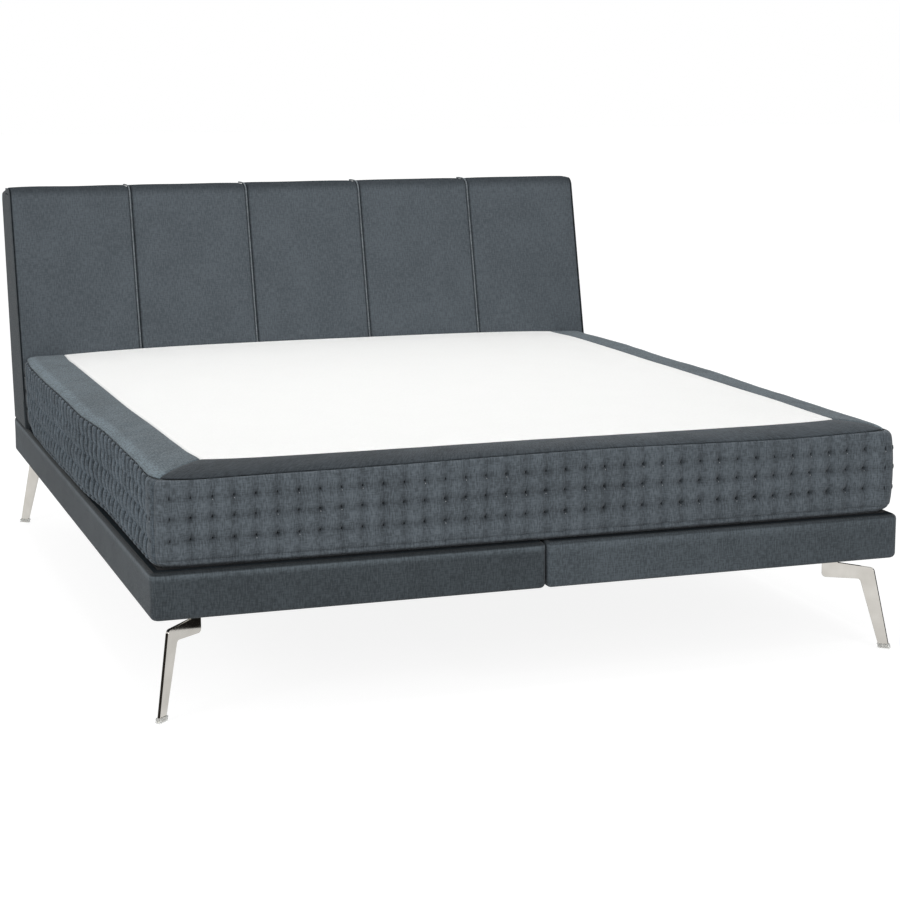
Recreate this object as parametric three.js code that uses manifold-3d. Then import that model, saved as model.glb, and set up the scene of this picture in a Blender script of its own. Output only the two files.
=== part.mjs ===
// A box spring bed: two low upholstered plinths on polished bent-blade legs, a loose box spring with
// a tufted side border on top of them, and a padded headboard that leans back on the plinths' head end.
// Lengths are in millimetres. X runs across the bed, Y from the foot end to the head end, Z up.
// The model is laid out from the plinths' foot face, at floor level, and centred at the end.

import * as THREE from 'three';
import { mergeVertices } from 'three/addons/utils/BufferGeometryUtils.js';
import Module from 'manifold-3d';

const wasm = await Module();
wasm.setup();

// Driving sizes of the whole bed
const bedWidth = 1840;
const plinthLength = 2240;
const plinthUnderside = 233;
const plinthHeight = 107;
const boxSeamHeight = 205;
const headboardTop = 1054;

// Fits
const seat = 0.3; // left between pieces that touch
const overrun = 5; // how far a cutting solid reaches past what it cuts

// Plinths: cloth over wadding on a timber frame
const splitGap = 3;
const outerCornerRadius = 20;
const splitCornerRadius = 11;
const plinthEdgeRadius = 10;
const plinthCoverWall = 5;
const underLip = 34;
const dustCoverThickness = 2;
const railThickness = 28;
const headRailWidth = 190;
const topBoardThickness = 10;
const cornerBlockSize = 140;

// Bolts that link the plinths, and hold the headboard to them
const boltRadius = 4;
const boltHoleRadius = 4.6;
const boltHeadRadius = 9;
const boltHeadHeight = 6;
const linkBoltFromEnd = 320;
const counterboreRadius = 11;
const counterboreDepth = 14;
const headboardBoltGrip = 45;

// Bent-blade legs, drawn in the upright plane that runs in from each corner at 45 degrees
const bladeThickness = 8;
const footOuter = 14;
const footInner = 39;
const kneeOuter = 59;
const kneeOuterHeight = 201;
const kneeInner = 91;
const kneeInnerHeight = 165;
const kneeOuterRadius = 12;
const kneeInnerRadius = 9;
const armEnd = 189;
const armEndHeight = 160;
const armEndRadius = 10;
const armTopRise = 4;
const riserWidth = 40;
const legPlateLength = 84;
const legPlateWidth = 64;
const legPlateThickness = 5;
const glideHeight = 12;
const glideWall = 1.6;

// Middle supports under the split
const supportTubeRadius = 15;
const supportPlateRadius = 30;
const supportPlateThickness = 4;
const supportFootRadius = 20;
const supportFootHeight = 14;

// Upper box
const boxFootInset = 17;
const boxSideInset = 10;
const headClearance = 4;
const boxFootCornerRadius = 36;
const boxHeadCornerRadius = 14;
const sideBow = 10;
const footBow = 4;
const borderThickness = 25;
const borderLift = 6;
const bottomClothThickness = 2;
const bottomClothInset = 12;
const boxRailHeight = 42;
const boxRailThickness = 30;
const boxBoardThickness = 6;
const comfortThickness = 24;
const topLayer = 6; // from the top of the side border up to its seam
const tuftPitch = 48.7;
const tuftDepth = 6;
const channelDepth = 3;
const hemSeamHeight = 14; // above the border's underside
const hemSeamDepth = 3.5;
const hemRoll = 10; // how far in the cloth is rolled under the hem
const rimFootWidth = 79;
const rimSideWidth = 122;
const rimCrown = 19;
const panelBow = 9; // how far the white panel's sides bulge half way along
const panelCrown = 8;

// Pocket springs
const pocketPitch = 74;
const pocketNotch = 9;

// Headboard
const headboardSetback = 25; // from the plinths' head end to the back plane, at the plinths' top
const headboardDepth = 255; // from the back plane to the front plane, at the plinths' top
const frontLean = THREE.MathUtils.degToRad(13.7);
const backLean = THREE.MathUtils.degToRad(8.7);
const cushionCount = 5;
const cushionThickness = 18;
const cushionStart = 85; // above the plinths' top
const frontShoulderRadius = 32;
const backShoulderRadius = 24;
const bodyTopDrop = 6; // of the body behind the cushions' end, from the headboard's top
const topReturn = 67; // how far the cushions run on over the top, past the shoulder's centre
const cushionCrown = 3;
const pipingRadius = 3;
const headboardCoverWall = 5;
const headboardEdgeRadius = 7;
const headboardBoardThickness = 15;
const baseRailHeight = 60;
const topRailHeight = 70;
const topRailThickness = 40;

// Finishes
const plinthCloth = new THREE.MeshStandardMaterial({ color: 0x4a5159, roughness: 0.95 });
const boxCloth = new THREE.MeshStandardMaterial({ color: 0x525961, roughness: 0.95 });
const headboardCloth = new THREE.MeshStandardMaterial({ color: 0x555b61, roughness: 0.93 });
const pipingCloth = new THREE.MeshStandardMaterial({ color: 0x62686e, roughness: 0.9 });
const whiteCloth = new THREE.MeshStandardMaterial({ color: 0xf4f4f2, roughness: 0.95 });
const blackCloth = new THREE.MeshStandardMaterial({ color: 0x1c1d20, roughness: 1 });
const feltCloth = new THREE.MeshStandardMaterial({ color: 0xd8d6cf, roughness: 1 });
const foam = new THREE.MeshStandardMaterial({ color: 0xe9e0c8, roughness: 1 });
const timber = new THREE.MeshStandardMaterial({ color: 0xc9a878, roughness: 0.8 });
const plywood = new THREE.MeshStandardMaterial({ color: 0xb9976a, roughness: 0.8 });
const chrome = new THREE.MeshStandardMaterial({ color: 0xd9d8d4, roughness: 0.08, metalness: 1 });
const steel = new THREE.MeshStandardMaterial({ color: 0x8b8f93, roughness: 0.35, metalness: 1 });
const blackSteel = new THREE.MeshStandardMaterial({ color: 0x202224, roughness: 0.5, metalness: 0.6 });
const clearPlastic = new THREE.MeshStandardMaterial({ color: 0xdedfdc, roughness: 0.3 });

// Heights and lengths worked out from the sizes above
const plinthTop = plinthUnderside + plinthHeight;
const lipTop = plinthUnderside + plinthCoverWall;
const dustCoverUnderside = lipTop - dustCoverThickness;
const railUnderside = lipTop + seat;
const topBoardTop = plinthTop - plinthCoverWall - seat;
const topBoardUnderside = topBoardTop - topBoardThickness;
const railTop = topBoardUnderside - seat;
// the square frame stays inside the cover's rounded corners
const frameInset = plinthCoverWall + (outerCornerRadius - plinthCoverWall) * (1 - Math.SQRT1_2) + seat;
const seamHeight = plinthTop + boxSeamHeight;
const headboardBack = plinthLength - headboardSetback;
const headboardFront = headboardBack - headboardDepth;

const bed = new THREE.Group();

function addPiece(name, geometry, material) {
  const piece = new THREE.Mesh(geometry, material);
  piece.name = name;
  bed.add(piece);
  return piece;
}

// Closed meshes and booleans

// Keeps only positions, with shared corners merged.
function weld(geometry) {
  const bare = geometry.clone();
  bare.deleteAttribute('normal');
  bare.deleteAttribute('uv');
  return mergeVertices(bare);
}

// Turns a list of triangles, three Vector3 each, into one closed geometry with its faces pointing out.
function closedGeometry(triangles) {
  let volume = 0;
  for (const [a, b, c] of triangles) volume += a.dot(b.clone().cross(c));
  const facing = volume < 0 ? triangles.map(([a, b, c]) => [a, c, b]) : triangles;
  const geometry = new THREE.BufferGeometry().setFromPoints(facing.flat());
  return mergeVertices(geometry);
}

function toManifold(geometry) {
  const welded = weld(geometry);
  return new wasm.Manifold(new wasm.Mesh({
    numProp: 3,
    vertProperties: new Float32Array(welded.attributes.position.array),
    triVerts: new Uint32Array(welded.index.array),
  }));
}

function fromManifold(manifold) {
  const mesh = manifold.getMesh();
  const geometry = new THREE.BufferGeometry();
  geometry.setAttribute('position', new THREE.BufferAttribute(new Float32Array(mesh.vertProperties), 3));
  geometry.setIndex(new THREE.BufferAttribute(new Uint32Array(mesh.triVerts), 1));
  return geometry;
}

function cut(geometry, ...tools) {
  return fromManifold(tools.reduce((left, tool) => left.subtract(toManifold(tool)), toManifold(geometry)));
}

function join(...geometries) {
  return fromManifold(geometries.map(toManifold).reduce((sum, next) => sum.add(next)));
}

// Simple shapes, placed by their limits

function block(x0, x1, y0, y1, z0, z1) {
  const geometry = new THREE.BoxGeometry(x1 - x0, y1 - y0, z1 - z0);
  return geometry.translate((x0 + x1) / 2, (y0 + y1) / 2, (z0 + z1) / 2);
}

const rodSides = 12;

// An upright cylinder from height z0 to z1.
function rod(radius, x, y, z0, z1) {
  const geometry = new THREE.CylinderGeometry(radius, radius, z1 - z0, rodSides).rotateX(Math.PI / 2);
  return geometry.translate(x, y, (z0 + z1) / 2);
}

// A cylinder along X from x0 to x1.
function crossRod(radius, x0, x1, y, z) {
  const geometry = new THREE.CylinderGeometry(radius, radius, x1 - x0, rodSides).rotateZ(Math.PI / 2);
  return geometry.translate((x0 + x1) / 2, y, z);
}

// An outline in (Y, Z) carried along X from x0 to x1, with rounded end edges if edgeRadius is given.
function carriedAlongX(points, x0, x1, edgeRadius = 0) {
  const geometry = new THREE.ExtrudeGeometry(new THREE.Shape(points), {
    depth: x1 - x0 - 2 * edgeRadius,
    bevelEnabled: edgeRadius > 0,
    bevelThickness: edgeRadius,
    bevelSize: edgeRadius,
    bevelOffset: -edgeRadius,
    bevelSegments: 2,
  });
  geometry.translate(0, 0, x0 + edgeRadius);
  // (u, v, along) becomes (along, u, v)
  return geometry.applyMatrix4(new THREE.Matrix4().set(0, 0, 1, 0, 1, 0, 0, 0, 0, 1, 0, 0, 0, 0, 0, 1));
}

// A flat slab with four corner radii, listed counterclockwise from its foot left corner. The edges all
// round its top and underside are rounded too if edgeRadius is given.
function roundedSlab(x0, x1, y0, y1, z0, z1, radii, edgeRadius = 0) {
  const shape = new THREE.Shape();
  const corners = [[x0, y0, 1, 1], [x1, y0, -1, 1], [x1, y1, -1, -1], [x0, y1, 1, -1]];
  corners.forEach(([x, y, inX, inY], i) => {
    const start = Math.PI + i * Math.PI / 2;
    shape.absarc(x + inX * radii[i], y + inY * radii[i], radii[i], start, start + Math.PI / 2);
  });
  const geometry = new THREE.ExtrudeGeometry(shape, {
    depth: z1 - z0 - 2 * edgeRadius,
    curveSegments: 4,
    bevelEnabled: edgeRadius > 0,
    bevelThickness: edgeRadius,
    bevelSize: edgeRadius,
    bevelOffset: -edgeRadius,
    bevelSegments: 3,
  });
  return geometry.translate(0, 0, z0 + edgeRadius);
}

// Triangles between two rows of points that run the same way, each row any number of points long.
function zip(rowA, rowB) {
  const triangles = [];
  const lastA = rowA.length - 1;
  const lastB = rowB.length - 1;
  let a = 0;
  let b = 0;
  while (a < lastA || b < lastB) {
    if (b === lastB || (a < lastA && (a + 1) / lastA <= (b + 1) / lastB)) {
      triangles.push([rowA[a], rowA[a + 1], rowB[b]]);
      a += 1;
    } else {
      triangles.push([rowA[a], rowB[b + 1], rowB[b]]);
      b += 1;
    }
  }
  return triangles;
}

// A pad between a shaped face and a plainer back. Each is a grid of points, rows of columns, that run
// the same way, and the four edges of the one are zipped to those of the other.
function padSolid(face, back) {
  const triangles = [];
  for (let r = 0; r + 1 < face.length; r += 1) triangles.push(...zip(face[r], face[r + 1]));
  for (let r = 0; r + 1 < back.length; r += 1) triangles.push(...zip(back[r + 1], back[r]));
  const column = (grid, pick) => grid.map((row) => row.at(pick));
  triangles.push(...zip(back[0], face[0]));
  triangles.push(...zip(face.at(-1), back.at(-1)));
  triangles.push(...zip(column(face, 0), column(back, 0)));
  triangles.push(...zip(column(back, -1), column(face, -1)));
  return closedGeometry(triangles);
}

// Points spread evenly from a to b, both included.
function spread(a, b, count) {
  return Array.from({ length: count }, (_, i) => a.clone().lerp(b, i / (count - 1)));
}

// Points on an arc in (u, v), both ends included.
function arcPoints(centreU, centreV, radius, from, to, steps) {
  return Array.from({ length: steps + 1 }, (_, i) => {
    const angle = from + (to - from) * i / steps;
    return new THREE.Vector2(centreU + radius * Math.cos(angle), centreV + radius * Math.sin(angle));
  });
}

// Cuts a corner of an outline into an arc that touches both of its sides.
function roundCorner(before, corner, after, radius, steps) {
  const toBefore = before.clone().sub(corner).normalize();
  const toAfter = after.clone().sub(corner).normalize();
  const half = Math.acos(toBefore.dot(toAfter)) / 2;
  const back = radius / Math.tan(half);
  const inward = toBefore.clone().add(toAfter).normalize();
  const centre = corner.clone().addScaledVector(inward, radius / Math.sin(half));
  const start = toBefore.multiplyScalar(back).add(corner).sub(centre);
  const end = toAfter.multiplyScalar(back).add(corner).sub(centre);
  const from = start.angle();
  let turn = end.angle() - from;
  if (turn > Math.PI) turn -= 2 * Math.PI;
  if (turn < -Math.PI) turn += 2 * Math.PI;
  return arcPoints(centre.x, centre.y, radius, from, from + turn, steps);
}

// Plinths

// How far from the split the bolt holes reach, and where the bolts go through the two frames
const frameReach = splitGap / 2 + frameInset + railThickness + overrun;
const linkBoltHeight = (railUnderside + railTop) / 2;
const linkBoltPlaces = [linkBoltFromEnd, plinthLength - linkBoltFromEnd];
const headboardBoltY = plinthLength - frameInset - headRailWidth / 2;
const headboardBoltTop = plinthTop + headboardBoltGrip;

// The two plinths mirror each other about the split. hand is -1 for the left one and 1 for the right.
function buildPlinth(side, hand) {
  const splitFace = splitGap / 2;
  const outerFace = bedWidth / 2;
  const across = (a, b) => (hand > 0 ? [a, b] : [-b, -a]);
  const [x0, x1] = across(splitFace, outerFace);
  const wall = plinthCoverWall;
  const [leftRadius, rightRadius] = hand > 0
    ? [splitCornerRadius, outerCornerRadius]
    : [outerCornerRadius, splitCornerRadius];
  const cornerRadii = (inset) => (
    [leftRadius, rightRadius, rightRadius, leftRadius].map((radius) => radius - inset));

  // timber frame, square to the cover's inside
  const insideOuterRail = outerFace - frameInset - railThickness;
  const insideInnerRail = splitFace + frameInset + railThickness;
  const frame = {
    outer: across(insideOuterRail, outerFace - frameInset),
    inner: across(splitFace + frameInset, insideInnerRail),
    between: across(insideInnerRail + seat, insideOuterRail - seat),
    foot: frameInset,
    head: plinthLength - frameInset,
  };
  const linkBoltHoles = linkBoltPlaces.map((y) => (
    crossRod(boltHoleRadius, ...across(splitFace - overrun, frameReach), y, linkBoltHeight)));
  const headboardBoltX = hand * bedWidth / 4;
  const headboardBoltHole = rod(
    boltHoleRadius, headboardBoltX, headboardBoltY, railUnderside - overrun, plinthTop + overrun);

  const outer = roundedSlab(
    x0, x1, 0, plinthLength, plinthUnderside, plinthTop, cornerRadii(0), plinthEdgeRadius);
  const hollow = roundedSlab(
    x0 + wall, x1 - wall, wall, plinthLength - wall, lipTop, plinthTop - wall, cornerRadii(wall));
  const opening = block(
    x0 + underLip, x1 - underLip, underLip, plinthLength - underLip,
    plinthUnderside - overrun, lipTop + overrun);
  const cover = cut(outer, hollow, opening, ...linkBoltHoles, headboardBoltHole);
  addPiece(`plinth_cover_${side}`, cover, plinthCloth);

  const clothEdge = underLip + seat;
  addPiece(`plinth_dust_cover_${side}`, block(
    x0 + clothEdge, x1 - clothEdge, clothEdge, plinthLength - clothEdge,
    dustCoverUnderside, lipTop), blackCloth);

  addPiece(`plinth_outer_rail_${side}`, block(
    ...frame.outer, frame.foot, frame.head, railUnderside, railTop), timber);
  addPiece(`plinth_inner_rail_${side}`, cut(
    block(...frame.inner, frame.foot, frame.head, railUnderside, railTop), ...linkBoltHoles), timber);
  addPiece(`plinth_foot_rail_${side}`, block(
    ...frame.between, frame.foot, frame.foot + railThickness, railUnderside, railTop), timber);
  const headRail = block(
    ...frame.between, frame.head - headRailWidth, frame.head, railUnderside, railTop);
  const counterbore = rod(
    counterboreRadius, headboardBoltX, headboardBoltY,
    railUnderside - overrun, railUnderside + counterboreDepth);
  addPiece(`plinth_head_rail_${side}`, cut(headRail, headboardBoltHole, counterbore), timber);
  const board = block(
    ...across(splitFace + frameInset, outerFace - frameInset), frame.foot, frame.head,
    topBoardUnderside, topBoardTop);
  addPiece(`plinth_top_board_${side}`, cut(board, headboardBoltHole), plywood);

  // the foot leg's screws go into a block in the frame's outer corner
  const blockOuter = outerFace - frameInset - railThickness - seat;
  const blockFoot = frame.foot + railThickness + seat;
  addPiece(`leg_block_${side}`, block(
    ...across(blockOuter - cornerBlockSize, blockOuter), blockFoot, blockFoot + cornerBlockSize,
    railUnderside, railTop), timber);

  // a bolt from below through the head rail, the board and the cover, up into the headboard
  const headTop = railUnderside + counterboreDepth - seat;
  const bolt = join(
    rod(boltHeadRadius, headboardBoltX, headboardBoltY, headTop - boltHeadHeight, headTop),
    rod(boltRadius, headboardBoltX, headboardBoltY, headTop - boltHeadHeight / 2, headboardBoltTop));
  addPiece(`headboard_bolt_${side}`, bolt, steel);
}

buildPlinth('left', -1);
buildPlinth('right', 1);

// Bolts across the split, each with its head and its nut against the frames' inner rails.
['foot', 'head'].forEach((end, i) => {
  const railFace = splitGap / 2 + frameInset + railThickness + seat;
  const y = linkBoltPlaces[i];
  const grip = railFace + boltHeadHeight;
  addPiece(`link_bolt_${end}`, join(
    crossRod(boltHeadRadius, -grip, -railFace, y, linkBoltHeight),
    crossRod(boltRadius, -grip + boltHeadHeight / 2, grip - boltHeadHeight / 2, y, linkBoltHeight),
    crossRod(boltHeadRadius, railFace, grip, y, linkBoltHeight)), steel);
});

// Legs

const footLift = glideWall; // the blade stands in its glide
const legTop = dustCoverUnderside - seat;

// The blade's outline in (inward along the diagonal, up): a foot, a splayed leg, a knee, and an arm that
// runs in to a riser under the mounting plate.
function bladeOutline(plateUnderside) {
  const point = (u, z) => new THREE.Vector2(u, z);
  const riserStart = armEnd - riserWidth;
  const outerFoot = point(footOuter, footLift);
  const innerFoot = point(footInner, footLift);
  const outerKnee = point(kneeOuter, kneeOuterHeight);
  const innerKnee = point(kneeInner, kneeInnerHeight);
  const armCorner = point(armEnd, armEndHeight);
  const riserFoot = point(riserStart, kneeOuterHeight + armTopRise);
  const riserTop = point(armEnd, plateUnderside);
  return [
    innerFoot,
    ...roundCorner(innerFoot, innerKnee, armCorner, kneeInnerRadius, 3),
    ...roundCorner(innerKnee, armCorner, riserTop, armEndRadius, 3),
    riserTop,
    point(riserStart, plateUnderside),
    riserFoot,
    ...roundCorner(riserFoot, outerKnee, outerFoot, kneeOuterRadius, 4),
    outerFoot,
  ];
}

// Lays a shape drawn in (inward, up, thickness) in the diagonal plane of a corner of the bed.
// hand is -1 on the left, end is 0 at the foot and 1 at the head.
function intoCorner(geometry, hand, end) {
  const headEnd = end === 1;
  // the diagonal runs in from the corner, at 45 degrees to both sides
  const inward = new THREE.Vector3(-hand, headEnd ? -1 : 1, 0).normalize();
  const up = new THREE.Vector3(0, 0, 1);
  const sideways = inward.clone().cross(up);
  const placing = new THREE.Matrix4().makeBasis(inward, up, sideways);
  placing.setPosition(hand * bedWidth / 2, headEnd ? plinthLength : 0, 0);
  return geometry.applyMatrix4(placing);
}

function buildLeg(side, hand, endName, end) {
  const plateUnderside = legTop - legPlateThickness;
  // the blade is welded to the plate, so its outline runs on into the plate's thickness
  const outline = new THREE.Shape(bladeOutline(plateUnderside + legPlateThickness / 2));
  const blade = new THREE.ExtrudeGeometry(outline, { depth: bladeThickness, bevelEnabled: false })
    .translate(0, 0, -bladeThickness / 2);
  const plateCentre = armEnd - riserWidth / 2;
  const plate = new THREE.BoxGeometry(legPlateLength, legPlateThickness, legPlateWidth);
  plate.translate(plateCentre, plateUnderside + legPlateThickness / 2, 0);
  addPiece(`leg_${endName}_${side}`, intoCorner(join(blade, plate), hand, end), chrome);

  // the glide is a shoe that the blade's foot stands in, with its walls along the blade's edges
  const outerSlope = (kneeOuter - footOuter) / (kneeOuterHeight - footLift);
  const innerSlope = (kneeInner - footInner) / (kneeInnerHeight - footLift);
  const shoe = (wall, low, high) => {
    const outerEdge = (z) => new THREE.Vector2(footOuter - wall + outerSlope * (z - footLift), z);
    const innerEdge = (z) => new THREE.Vector2(footInner + wall + innerSlope * (z - footLift), z);
    const section = new THREE.Shape([outerEdge(low), innerEdge(low), innerEdge(high), outerEdge(high)]);
    const thickness = bladeThickness + 2 * wall;
    return new THREE.ExtrudeGeometry(section, { depth: thickness, bevelEnabled: false })
      .translate(0, 0, -thickness / 2);
  };
  const pocketGap = 2 * seat;
  const glide = cut(
    shoe(pocketGap + glideWall, 0, glideHeight), shoe(pocketGap, footLift - seat, glideHeight + overrun));
  addPiece(`glide_${endName}_${side}`, intoCorner(glide, hand, end), clearPlastic);
}

[['left', -1], ['right', 1]].forEach(([side, hand]) => {
  buildLeg(side, hand, 'foot', 0);
  buildLeg(side, hand, 'head', 1);
});

// A turned support under each plinth's inner rail, half way along the bed.
function buildMiddleSupport(side, hand) {
  const top = plinthUnderside - seat;
  const profile = [
    [0, 0], [supportFootRadius, 0], [supportFootRadius, supportFootHeight],
    [supportTubeRadius, supportFootHeight], [supportTubeRadius, top - supportPlateThickness],
    [supportPlateRadius, top - supportPlateThickness], [supportPlateRadius, top], [0, top],
  ].map(([radius, z]) => new THREE.Vector2(radius, z));
  const support = new THREE.LatheGeometry(profile, 16).rotateX(Math.PI / 2);
  const x = splitGap / 2 + supportPlateRadius + seat;
  addPiece(`middle_support_${side}`, support.translate(hand * x, plinthLength / 2, 0), blackSteel);
}

buildMiddleSupport('left', -1);
buildMiddleSupport('right', 1);

// Upper box

const boxHalfWidth = bedWidth / 2 - boxSideInset;
const borderUnderside = plinthTop + borderLift;
const borderTop = seamHeight - topLayer;

// How far from the foot face the headboard's front plane lies at a height, and the box's head end
// before it: the soft box is pressed to the same lean.
const headboardFrontAt = (z) => headboardFront + (z - plinthTop) * Math.tan(frontLean);
const boxHeadAt = (z) => headboardFrontAt(z) - headClearance;

// A point on one side of the box's rounded plan outline at height z, with its outward direction.
// side counts counterclockwise: 0 foot, 1 right, 2 head, 3 left. share runs from the middle of one
// corner's round to the middle of the next; a squareEnd side runs round its whole head corner.
function outlineAt(side, share, z, squareEnd = false) {
  const footRadius = boxFootCornerRadius;
  const headRadius = boxHeadCornerRadius;
  const low = boxFootInset + footRadius;
  const high = boxHeadAt(z) - headRadius;
  const footHalf = boxHalfWidth - footRadius;
  const headHalf = boxHalfWidth - headRadius;
  const centres = [[-footHalf, low], [footHalf, low], [headHalf, high], [-headHalf, high]]
    .map(([x, y]) => new THREE.Vector2(x, y));
  const radii = [footRadius, footRadius, headRadius, headRadius];
  const ends = [side, (side + 1) % 4];
  const [startCentre, endCentre] = ends.map((corner) => centres[corner]);
  const [startRadius, endRadius] = ends.map((corner) => radii[corner]);
  const quarter = Math.PI / 2;
  const facing = (side - 1) * quarter;
  const startSweep = squareEnd && side === 3 ? quarter : quarter / 2 - seat / startRadius;
  const endSweep = squareEnd && side === 1 ? quarter : quarter / 2 - seat / endRadius;
  const outFrom = (centre, radius, angle) => (
    new THREE.Vector2(Math.cos(angle), Math.sin(angle)).multiplyScalar(radius).add(centre));
  const straightStart = outFrom(startCentre, startRadius, facing);
  const straightEnd = outFrom(endCentre, endRadius, facing);
  const run = straightStart.distanceTo(straightEnd);
  const startArc = startRadius * startSweep;
  const along = share * (startArc + run + endRadius * endSweep);
  let angle = facing;
  let place = straightStart.clone().lerp(straightEnd, (along - startArc) / run);
  if (along < startArc) {
    angle = facing - startSweep + along / startRadius;
    place = outFrom(startCentre, startRadius, angle);
  } else if (along > startArc + run) {
    angle = facing + (along - startArc - run) / endRadius;
    place = outFrom(endCentre, endRadius, angle);
  }
  const normal = new THREE.Vector3(Math.cos(angle), Math.sin(angle), 0);
  const bow = [footBow, sideBow, 0, sideBow][side] * Math.sin(Math.PI * share);
  const bowed = new THREE.Vector3(Math.cos(facing), Math.sin(facing), 0).multiplyScalar(bow);
  return { point: new THREE.Vector3(place.x, place.y, z).add(bowed), normal };
}

// The border's rows, from its top seam down: how far down each lies as a share of the height, and how
// deep the cloth is drawn in there, on the upright lines of the tufts and half way between them.
const borderRowShares = [
  [0, channelDepth, channelDepth], [0.11, channelDepth, 0],
  [0.225, tuftDepth, channelDepth / 2], [0.35, channelDepth, 0],
  [0.47, tuftDepth, channelDepth / 2], [0.61, channelDepth, 0],
  [0.745, tuftDepth, channelDepth / 2], [0.84, channelDepth, 0],
];
const backStations = 9;

function buildBorder(name, side, length) {
  const height = borderTop - borderUnderside;
  const columns = 2 * Math.round(length / tuftPitch);
  // a row of points at height z, drawn in by one depth on the tufts' lines and another between them
  const row = (z, onTuft, between) => Array.from({ length: columns + 1 }, (_, c) => {
    const { point, normal } = outlineAt(side, c / columns, z);
    return point.addScaledVector(normal, -(c % 2 === 1 ? onTuft : between));
  });
  const face = borderRowShares.map(([downShare, onTuft, between]) => (
    row(borderTop - downShare * height, onTuft, between)));
  // the hem's seam, and the cloth rolled in under it
  face.push(row(borderUnderside + hemSeamHeight, hemSeamDepth, hemSeamDepth));
  face.push(row(borderUnderside, hemRoll, hemRoll));
  const back = [borderTop, borderUnderside].map((z) => {
    const [start, end] = innerCorners(side, z);
    return spread(start, end, backStations);
  });
  addPiece(name, padSolid(face, back), boxCloth);
}

// The corners of the border's flat back at height z, at the start and the end of a side, drawn in from
// the mitre by the seat.
function innerCorners(side, z) {
  const x = boxHalfWidth - borderThickness;
  const low = boxFootInset + borderThickness;
  const high = boxHeadAt(z) - borderThickness;
  const corners = [[-x, low], [x, low], [x, high], [-x, high]];
  const start = new THREE.Vector3(...corners[side], z);
  const end = new THREE.Vector3(...corners[(side + 1) % 4], z);
  const step = end.clone().sub(start).normalize().multiplyScalar(seat);
  return [start.add(step), end.sub(step)];
}

const boxWidth = 2 * boxHalfWidth;
const boxLength = boxHeadAt(borderTop) - boxFootInset;
buildBorder('box_border_foot', 0, boxWidth);
buildBorder('box_border_right', 1, boxLength);
buildBorder('box_border_head', 2, boxWidth);
buildBorder('box_border_left', 3, boxLength);

// Timber base, springs and padding inside the border
const insideHalf = boxHalfWidth - borderThickness - seat;
const insideFoot = boxFootInset + borderThickness + seat;
const boxUnderside = plinthTop + seat;
const boxRailUnderside = boxUnderside + bottomClothThickness + seat;
const insideHead = boxHeadAt(boxRailUnderside) - borderThickness - seat;
const boxRailTop = boxRailUnderside + boxRailHeight;
const boxBoardUnderside = boxRailTop + seat;
const boxBoardTop = boxBoardUnderside + boxBoardThickness;
const comfortTop = borderTop - seat;
const comfortUnderside = comfortTop - comfortThickness;

const clothHalf = boxHalfWidth - bottomClothInset;
addPiece('box_bottom_cloth', block(
  -clothHalf, clothHalf, boxFootInset + bottomClothInset, boxHeadAt(boxUnderside) - bottomClothInset,
  boxUnderside, boxUnderside + bottomClothThickness), blackCloth);

[['left', -1], ['right', 1]].forEach(([side, hand]) => {
  const [x0, x1] = hand > 0
    ? [insideHalf - boxRailThickness, insideHalf]
    : [-insideHalf, -insideHalf + boxRailThickness];
  addPiece(`box_side_rail_${side}`, block(
    x0, x1, insideFoot, insideHead, boxRailUnderside, boxRailTop), timber);
});
const endRailHalf = insideHalf - boxRailThickness - seat;
[['foot', insideFoot], ['head', insideHead - boxRailThickness]].forEach(([end, y]) => {
  addPiece(`box_${end}_rail`, block(
    -endRailHalf, endRailHalf, y, y + boxRailThickness, boxRailUnderside, boxRailTop), timber);
});
addPiece('box_base_board', block(
  -insideHalf, insideHalf, insideFoot, insideHead, boxBoardUnderside, boxBoardTop), plywood);

// The pocket spring unit: its outline is notched between the outermost rows of pockets.
function pocketOutline() {
  const width = 2 * insideHalf;
  const depth = insideHead - insideFoot;
  const acrossCount = Math.round(width / pocketPitch);
  const alongCount = Math.round(depth / pocketPitch);
  const corners = [
    [-insideHalf, insideFoot], [insideHalf, insideFoot],
    [insideHalf, insideHead], [-insideHalf, insideHead],
  ].map(([x, y]) => new THREE.Vector2(x, y));
  const outline = [];
  corners.forEach((corner, i) => {
    const next = corners[(i + 1) % 4];
    const along = next.clone().sub(corner);
    const inward = new THREE.Vector2(-along.y, along.x).normalize();
    const count = i % 2 === 0 ? acrossCount : alongCount;
    outline.push(corner);
    for (let k = 1; k < count; k += 1) {
      const notch = corner.clone().addScaledVector(along, k / count);
      const half = along.clone().normalize().multiplyScalar(pocketNotch);
      outline.push(notch.clone().sub(half), notch.clone().addScaledVector(inward, pocketNotch));
      outline.push(notch.clone().add(half));
    }
  });
  return outline;
}
const springs = new THREE.ExtrudeGeometry(new THREE.Shape(pocketOutline()), {
  depth: comfortUnderside - seat - (boxBoardTop + seat), bevelEnabled: false,
}).translate(0, 0, boxBoardTop + seat);
addPiece('pocket_spring_unit', springs, feltCloth);
addPiece('comfort_layer', block(
  -insideHalf, insideHalf, insideFoot, boxHeadAt(comfortUnderside) - borderThickness - seat,
  comfortUnderside, comfortTop), foam);

// Top of the box: a dark rim on three sides, mitred at the foot corners, round a white panel
const rimUnderside = borderTop + seat;
const headEdge = boxHeadAt(borderTop);
const panelHalf = boxHalfWidth - rimSideWidth;
const panelFoot = boxFootInset + rimFootWidth;

// Across the rim from its outer seam to the panel: place and height, as shares of width and crown.
const rimAcrossShares = [[0, 0], [0.25, 0.42], [0.55, 0.78], [0.8, 0.95], [1, 1]];
// Stations along the rim: near each end in shares of the foot corners' radius, and between as shares of
// the whole side.
const rimCornerShares = [0, 0.4, 0.8, 1.2, 1.6];
const rimMiddleShares = [0.25, 0.5, 0.75];

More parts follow.
